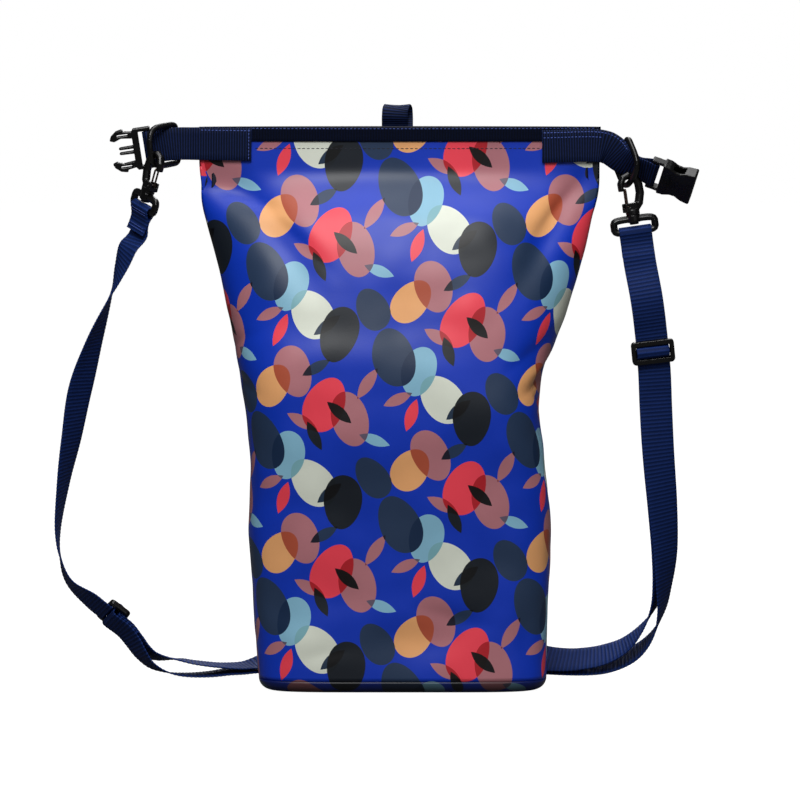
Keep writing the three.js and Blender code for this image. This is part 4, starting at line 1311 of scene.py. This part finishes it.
@dataclass
class Mouth:
    """Stiffening tapes along the mouth, the hang tab and the hem's stitching."""

    tube: ClothTube
    band_height: float = 11.0
    band_thick: float = 1.2
    band_gap: float = 0.45
    band_end: float = 4.0
    band_steps: int = 600
    band_seam_up: float = 4.4
    band_seam_inset: float = 2.0
    hang_width: float = 20.0
    hang_rise: float = 15.4
    hang_step: float = 0.35
    hang_seams: tuple[float, ...] = (3.0, 7.0)
    hang_seam_reach: float = 8.5
    hem_height: float = 414.6
    hem_end: float = 44.0
    gap: float = 0.3

    def band(self, word: str, facing: int) -> Ribbon:
        """Tape along the front (-1) or back (1) of the mouth."""
        reach = self.tube.rim_half_width() - self.band_end
        x = np.linspace(-reach, reach, self.band_steps + 1)
        y = facing * (self.tube.rim_depth(x) + self.band_gap + self.band_thick / 2)
        points = at_height(np.column_stack([x, y]), self.tube.rim_height - self.band_height / 2)
        across = np.tile([0.0, 0.0, 1.0], (len(x), 1))
        size = (self.band_height, self.band_thick, TAPE_RIB, TAPE_RIB_HEIGHT)
        return Ribbon(f"mouth_tape_{word}", points, across, *size)

    def hang_tab(self) -> Ribbon:
        """Loop of webbing on the back of the mouth, folded slightly askew."""
        depth = float(self.tube.rim_depth(np.array(0.0)))
        legs = depth + self.band_gap + self.band_thick + self.gap + WEBBING_THICK / 2
        rim = self.tube.rim_height
        sewn, top = rim - self.band_height, rim + self.hang_rise
        lap = WEBBING_THICK + self.gap
        rows = [
            (-4, legs, sewn),
            (-4, legs, rim),
            (-4, legs - 3.6, rim + 7),
            (-3.6, legs - 3.2, rim + 12.4),
            (-2.8, legs - 0.8, top - 0.7),
            (-2, legs + 1.4, top),
            (-1.2, legs + 3.6, top - 0.7),
            (-0.4, legs + 6, rim + 12.4),
            (0, legs + 6.2, rim + 7),
            (0, legs + lap, rim),
            (0, legs + lap, sewn),
        ]
        points = even_run(np.array(rows, float), self.hang_step)
        across = np.tile([1.0, 0.0, 0.0], (len(points), 1))
        size = (self.hang_width, WEBBING_THICK, TAB_RIB, TAB_RIB_HEIGHT)
        return Ribbon("hang_tab_webbing", points, across, *size)

    def build(self) -> None:
        """Makes the tapes, the hang tab and their stitches."""
        sewing = StitchRow("tape_stitches", pitch=3.0, length=2.2, width=0.5, height=0.35)
        for word, facing, face in (("front", -1, Face.OUTER), ("back", 1, Face.INNER)):
            band = self.band(word, facing)
            band.build(Finish.TAPE, f"mouth_band_{word}")
            ends = (self.band_seam_inset, band.length - self.band_seam_inset)
            sewing.lines.append(band.line(((at, self.band_seam_up) for at in ends), face))
        sewing.build()
        tab = self.hang_tab()
        tab.build(Finish.TAB, "hang_tab")
        hold = StitchRow("hang_tab_stitches", pitch=2.0, length=1.7, width=0.6, height=0.4)
        for inset in self.hang_seams:
            reach = (-self.hang_seam_reach, self.hang_seam_reach)
            hold.lines.append(tab.line(((tab.length - inset, x) for x in reach), Face.OUTER))
        hold.build()
        hem = StitchRow("hem_stitches", Finish.DARK_THREAD, 3.6, 2.8, 0.7, 0.45)
        reach = self.tube.rim_half_width() - self.hem_end
        hem.lines = [self.tube.hem_line(self.hem_height, reach, facing) for facing in (-1, 1)]
        hem.build(Slot.PRINTED)


@dataclass
class SideTab:
    """Webbing tab that holds half of the buckle on one end of the mouth."""

    side: Side
    tube: ClothTube
    on_band: float = 2.6
    lap: float = 0.8
    loop: float = 2.95
    leg_steps: int = 6
    step: float = 0.33

    def side_view(self) -> SideView:
        """Places along the course and heights off it, round the buckle's bar and back."""
        bar = TAB_BARS[self.side]
        first = abs(TAB_COURSES[self.side][0].x)
        corner = self.tube.rim_half_width() - first
        leg = np.linspace(0, corner, self.leg_steps + 1)
        depths = self.tube.rim_depth(first + leg) + self.on_band
        out = list(zip(leg.tolist(), depths.tolist()))
        out += [(corner + 4, 1.5), (corner + 8, self.lap), (bar - 14, self.lap)]
        out += [(bar - 9, self.lap), (bar - 4, 1.9)]
        back = [(at, -height) for at, height in reversed(out)]
        return out + turn_round(bar, self.loop, self.loop, 1, 1) + back

    def build(self) -> None:
        """Makes the tab and its stitches, alike on its front and back legs."""
        word = self.side.value
        points, across = Course(TAB_COURSES[self.side]).stations(self.side_view(), self.step)
        ribs = {"rib_pitch": TAB_RIB, "rib_height": TAB_RIB_HEIGHT}
        tab = Ribbon(f"tab_webbing_{word}", points, across, **ribs)
        tab.build(Finish.TAB, f"tab_{word}")
        sewing = StitchRow(f"tab_stitches_{word}", pitch=2.6, length=2.1)
        for seam in TAB_SEAMS[self.side]:
            sewing.lines.append(tab.line(seam, Face.OUTER))
            sewing.lines.append(tab.line(((tab.length - at, x) for at, x in seam), Face.OUTER))
        sewing.build()


@dataclass
class ShoulderStrap:
    """Strap sewn round the swivel eye, run through the slider and the anchor, and back."""

    side: Side
    hook_up: Triple
    tail_side: int
    slider_face: int
    slider_bend: int
    tail: float = 19.0
    eye_drop: float = 14.8
    eye_run: tuple[float, ...] = (0.0, 9.0, 22.0)
    pivot: tuple[float, float] = (-4.0, 4.9)
    anchor_bar: float = 66.7
    anchor_loop: float = 3.3
    lap: float = 0.8
    eye_loop: float = 3.85
    over: float = 4.1
    under: float = 2.45
    spacing: float = 13.0
    step: float = 0.5
    tacks: tuple[float, ...] = (3.0, 5.2, 16.0, 18.2)
    tack_reach: float = 9.5

    def eye_bar(self) -> tuple[Array, Array]:
        """Middle of the eye's lower bar, from the gate's hinge, and the way up the hook."""
        name = f"gate_{self.side.value}_hinge"
        hinge = next(joint for joint in frame["joints"] if joint["name"] == name)
        up = unit(np.array(self.hook_up))
        spine = unit(np.cross(np.array(hinge["axis"]), up))
        origin = np.array(hinge["pos_m"]) / MM - spine * self.pivot[0] - up * self.pivot[1]
        return origin - up * self.eye_drop, up

    def course(self) -> Course:
        """The strap's course, from the eye's bar to the anchor."""
        bar, up = self.eye_bar()
        bends = STRAP_COURSES[self.side]
        from_eye = [Bend(*(bar - up * drop), bends[0].turn) for drop in self.eye_run]
        return Course([*from_eye, *bends])

    def side_view(self, course: Course, slider_at: float) -> SideView:
        """Places along the course and heights off it, from the sewn tail to the free end."""
        layers = STRAP_LAYERS[self.side]
        anchor_at = course.length - (self.anchor_bar - abs(course.bends[-1].x))
        sewn = [(self.tail, self.lap + 1.2), (self.tail / 2 + 3, self.lap), (8, self.lap), (4, 2.1)]
        start = [(at, self.tail_side * height) for at, height in sewn]
        back = [(at, -height) for at, height in reversed(start)]
        upper = [(at, 0.0) for at in even_places(self.tail + 12, slider_at - 40, self.spacing)]
        behind, returned = layers[0].front, layers[0].back
        nearing = [(-26, 0.4 * behind), (-16, 0.9 * behind)]
        into = [(-9.6, behind), (-5.8, behind), (-4.55, behind + 0.35), (-self.over, -0.8)]
        out_of = [(-at, height) for at, height in reversed(into)]
        low = even_places(slider_at + 13, anchor_at - 5, self.spacing)
        share = (low - slider_at) / (anchor_at - slider_at)
        shares = [row.share for row in layers]
        front = list(zip(low, eased(shares, [row.front for row in layers], share)))
        rear = list(zip(low, eased(shares, [row.back for row in layers], share)))
        loop = [(9.6, returned), (2, returned), (-1.2, returned + 0.4), (-2.3, returned + 1.4)]
        loop += [(-self.under, -2.8), *over_bar(self.under), (self.under, -2.6)]
        loop += [(3.5, -4.1), (5.2, -4.4), (14, -4.4), (23, -4.4)]
        doubled = [
            *moved_along([*nearing, *into, *over_bar(self.over), *out_of], slider_at),
            *front,
            *turn_round(anchor_at, self.anchor_loop, layers[-1].front, 1, 1),
            *reversed(rear),
            *moved_along(loop, slider_at),
        ]
        return [
            *start,
            *turn_round(0, self.eye_loop, self.eye_loop, -1, self.tail_side),
            *back,
            *upper,
            *((at, self.slider_face * height) for at, height in doubled),
        ]

    def build(self) -> None:
        """Makes the strap and the bar tacks of its sewn end."""
        word, course = self.side.value, self.course()
        slider_at = float(course.bend_places[len(self.eye_run) + self.slider_bend])
        points, across = course.stations(self.side_view(course, slider_at), self.step)
        strap = Ribbon(f"strap_webbing_{word}", points, across)
        strap.build(Finish.STRAP, f"strap_{word}")
        sewing = StitchRow(f"strap_stitches_{word}", pitch=1.5, length=1.6)
        for at in self.tacks:
            ends = ((at, -self.tack_reach), (at, self.tack_reach))
            sewing.lines.append(strap.line(ends, Face(-self.tail_side)))
        sewing.build()


@dataclass
class MouldedFitting:
    """Moulded or bent fitting: its frame node with softened edges."""

    node: str
    name: str
    body: str = BAG
    slot: Slot = Slot.PLASTIC
    finish: Finish = Finish.PLASTIC
    voxel: float = 0.34
    softening: int = 6
    fullness: float = 0.3

    def build(self) -> None:
        """Makes the fitting."""
        mesh = frame["nodes"][self.node].data.copy()
        mesh.name = self.name
        work = bmesh.new()
        work.from_mesh(mesh)
        bmesh.ops.remove_doubles(work, verts=work.verts, dist=1e-6)
        work.to_mesh(mesh)
        work.free()
        piece = add_object(self.name, mesh)
        remesh = piece.modifiers.new("skin", "REMESH")
        remesh.mode = "VOXEL"
        remesh.voxel_size = self.voxel * MM
        soften = piece.modifiers.new("soften", "SMOOTH")
        soften.factor = 0.5
        soften.iterations = self.softening
        fill_out = piece.modifiers.new("fill out", "DISPLACE")
        fill_out.direction = "NORMAL"
        fill_out.mid_level = 0.0
        fill_out.strength = self.fullness * MM
        settled(piece).data.materials.clear()
        piece.data.materials.append(self.finish.material())
        adopt(piece, self.body, self.slot, self.node)


def both_sides(node: str, name: str, **settings: object) -> list[MouldedFitting]:
    """A fitting for the left and one for the right."""
    words = [side.value for side in Side]
    return [MouldedFitting(f"{node}_{word}", f"{name}_{word}", **settings) for word in words]


def gate(side: Side) -> MouldedFitting:
    """Sprung gate of a side's hook, on its own body."""
    node, name, body = (f"{kind}_{side.value}" for kind in ("hook_gate", "gate_wire", "gate"))
    return MouldedFitting(
        node, name, body, Slot.WIRE, Finish.WIRE, voxel=0.13, softening=4, fullness=0.06
    )


FITTINGS = (
    MouldedFitting("buckle_male", "buckle_prongs", voxel=0.36),
    MouldedFitting("buckle_female", "buckle_housing", voxel=0.42),
    *both_sides("d_ring", "ring", fullness=0.5),
    *both_sides("snap_hook", "hook", fullness=0.25),
    *both_sides("swivel_eye", "eye", fullness=0.5),
    *both_sides("slider", "adjuster"),
    *both_sides("strap_anchor", "anchor", voxel=0.4),
    *(gate(side) for side in Side),
)

STRAPS = (
    ShoulderStrap(Side.LEFT, (0.27, -0.11, 0.96), tail_side=1, slider_face=-1, slider_bend=11),
    ShoulderStrap(Side.RIGHT, (-0.14, 0.02, 0.99), tail_side=-1, slider_face=1, slider_bend=2),
)


@dataclass
class Studio:
    """White floor, soft lamps and the camera, in metres."""

    aim: Triple = (0.0, 0.0, 0.2204)
    distance: float = 6.0
    elevation: float = 5.0
    lens: float = 350.7
    sensor: float = 36.0
    half_floor: float = 6.0
    floor_drop: float = 0.0005
    floor_tone: float = 0.1
    floor_glow: float = 0.99
    ambient: float = 0.07

    def floor(self) -> None:
        """Lays the floor, which looks white to the camera alone."""
        mesh = bpy.data.meshes.new("floor")
        corners = ((-1, -1), (1, -1), (1, 1), (-1, 1))
        places = [(x * self.half_floor, y * self.half_floor, -self.floor_drop) for x, y in corners]
        mesh.from_pydata(places, [], [(0, 1, 2, 3)])
        surface = Surface("studio floor")
        w = surface.wiring
        seen = w.add("ShaderNodeLightPath").outputs["Is Camera Ray"]
        surface.set(Base_Color=(*[self.floor_tone] * 3, 1.0), Roughness=0.9, Emission_Color=WHITE)
        surface.set(Emission_Strength=w.math("MULTIPLY", seen, self.floor_glow))
        mesh.materials.append(surface.material)
        add_object("floor", mesh)

    def lamp(self, lamp: Lamp) -> None:
        """Hangs a lamp."""
        light = bpy.data.lights.new(lamp.name, "AREA")
        light.size = lamp.size
        light.energy = lamp.power
        hung = add_object(lamp.name, light)
        hung.location = lamp.place
        way = Vector(self.aim) - Vector(lamp.place)
        hung.rotation_euler = way.to_track_quat("-Z", "Y").to_euler()

    def world(self) -> None:
        """Sets a surround that is white to the camera and lights gently."""
        world = bpy.data.worlds.new("surround")
        world.use_nodes = True
        bpy.context.scene.world = world
        world.node_tree.nodes.clear()
        w = Wiring(world.node_tree)
        seen = w.add("ShaderNodeLightPath").outputs["Is Camera Ray"]
        strength = w.math("MULTIPLY_ADD", seen, 1 - self.ambient, self.ambient)
        background = w.add("ShaderNodeBackground", {"Color": WHITE, "Strength": strength})
        w.add("ShaderNodeOutputWorld", {"Surface": background.outputs[0]})

    def camera(self) -> None:
        """Places the camera in front of the bag, slightly above it."""
        data = bpy.data.cameras.new("camera")
        data.lens = self.lens
        data.sensor_width = self.sensor
        camera = add_object("camera", data)
        lean = math.radians(self.elevation)
        back = Vector((0.0, -math.cos(lean), math.sin(lean)))
        camera.location = Vector(self.aim) + back * self.distance
        camera.rotation_euler = (-back).to_track_quat("-Z", "Y").to_euler()
        bpy.context.scene.camera = camera

    def build(self) -> None:
        """Sets up the studio."""
        self.floor()
        self.world()
        for lamp in LAMPS:
            self.lamp(lamp)
        self.camera()
        bpy.context.scene.view_settings.view_transform = "Standard"
        log.info("studio set")


def main() -> None:
    """Builds the bag in order and reports each piece."""
    logging.basicConfig(level=logging.INFO, format="%(name)s: %(message)s")
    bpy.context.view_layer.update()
    tube = ClothTube()
    tabs = [SideTab(side, tube) for side in Side]
    for piece in (tube, BasePanel(tube), Mouth(tube), *tabs, *STRAPS, *FITTINGS, Studio()):
        piece.build()


if __name__ == "__main__":
    main()
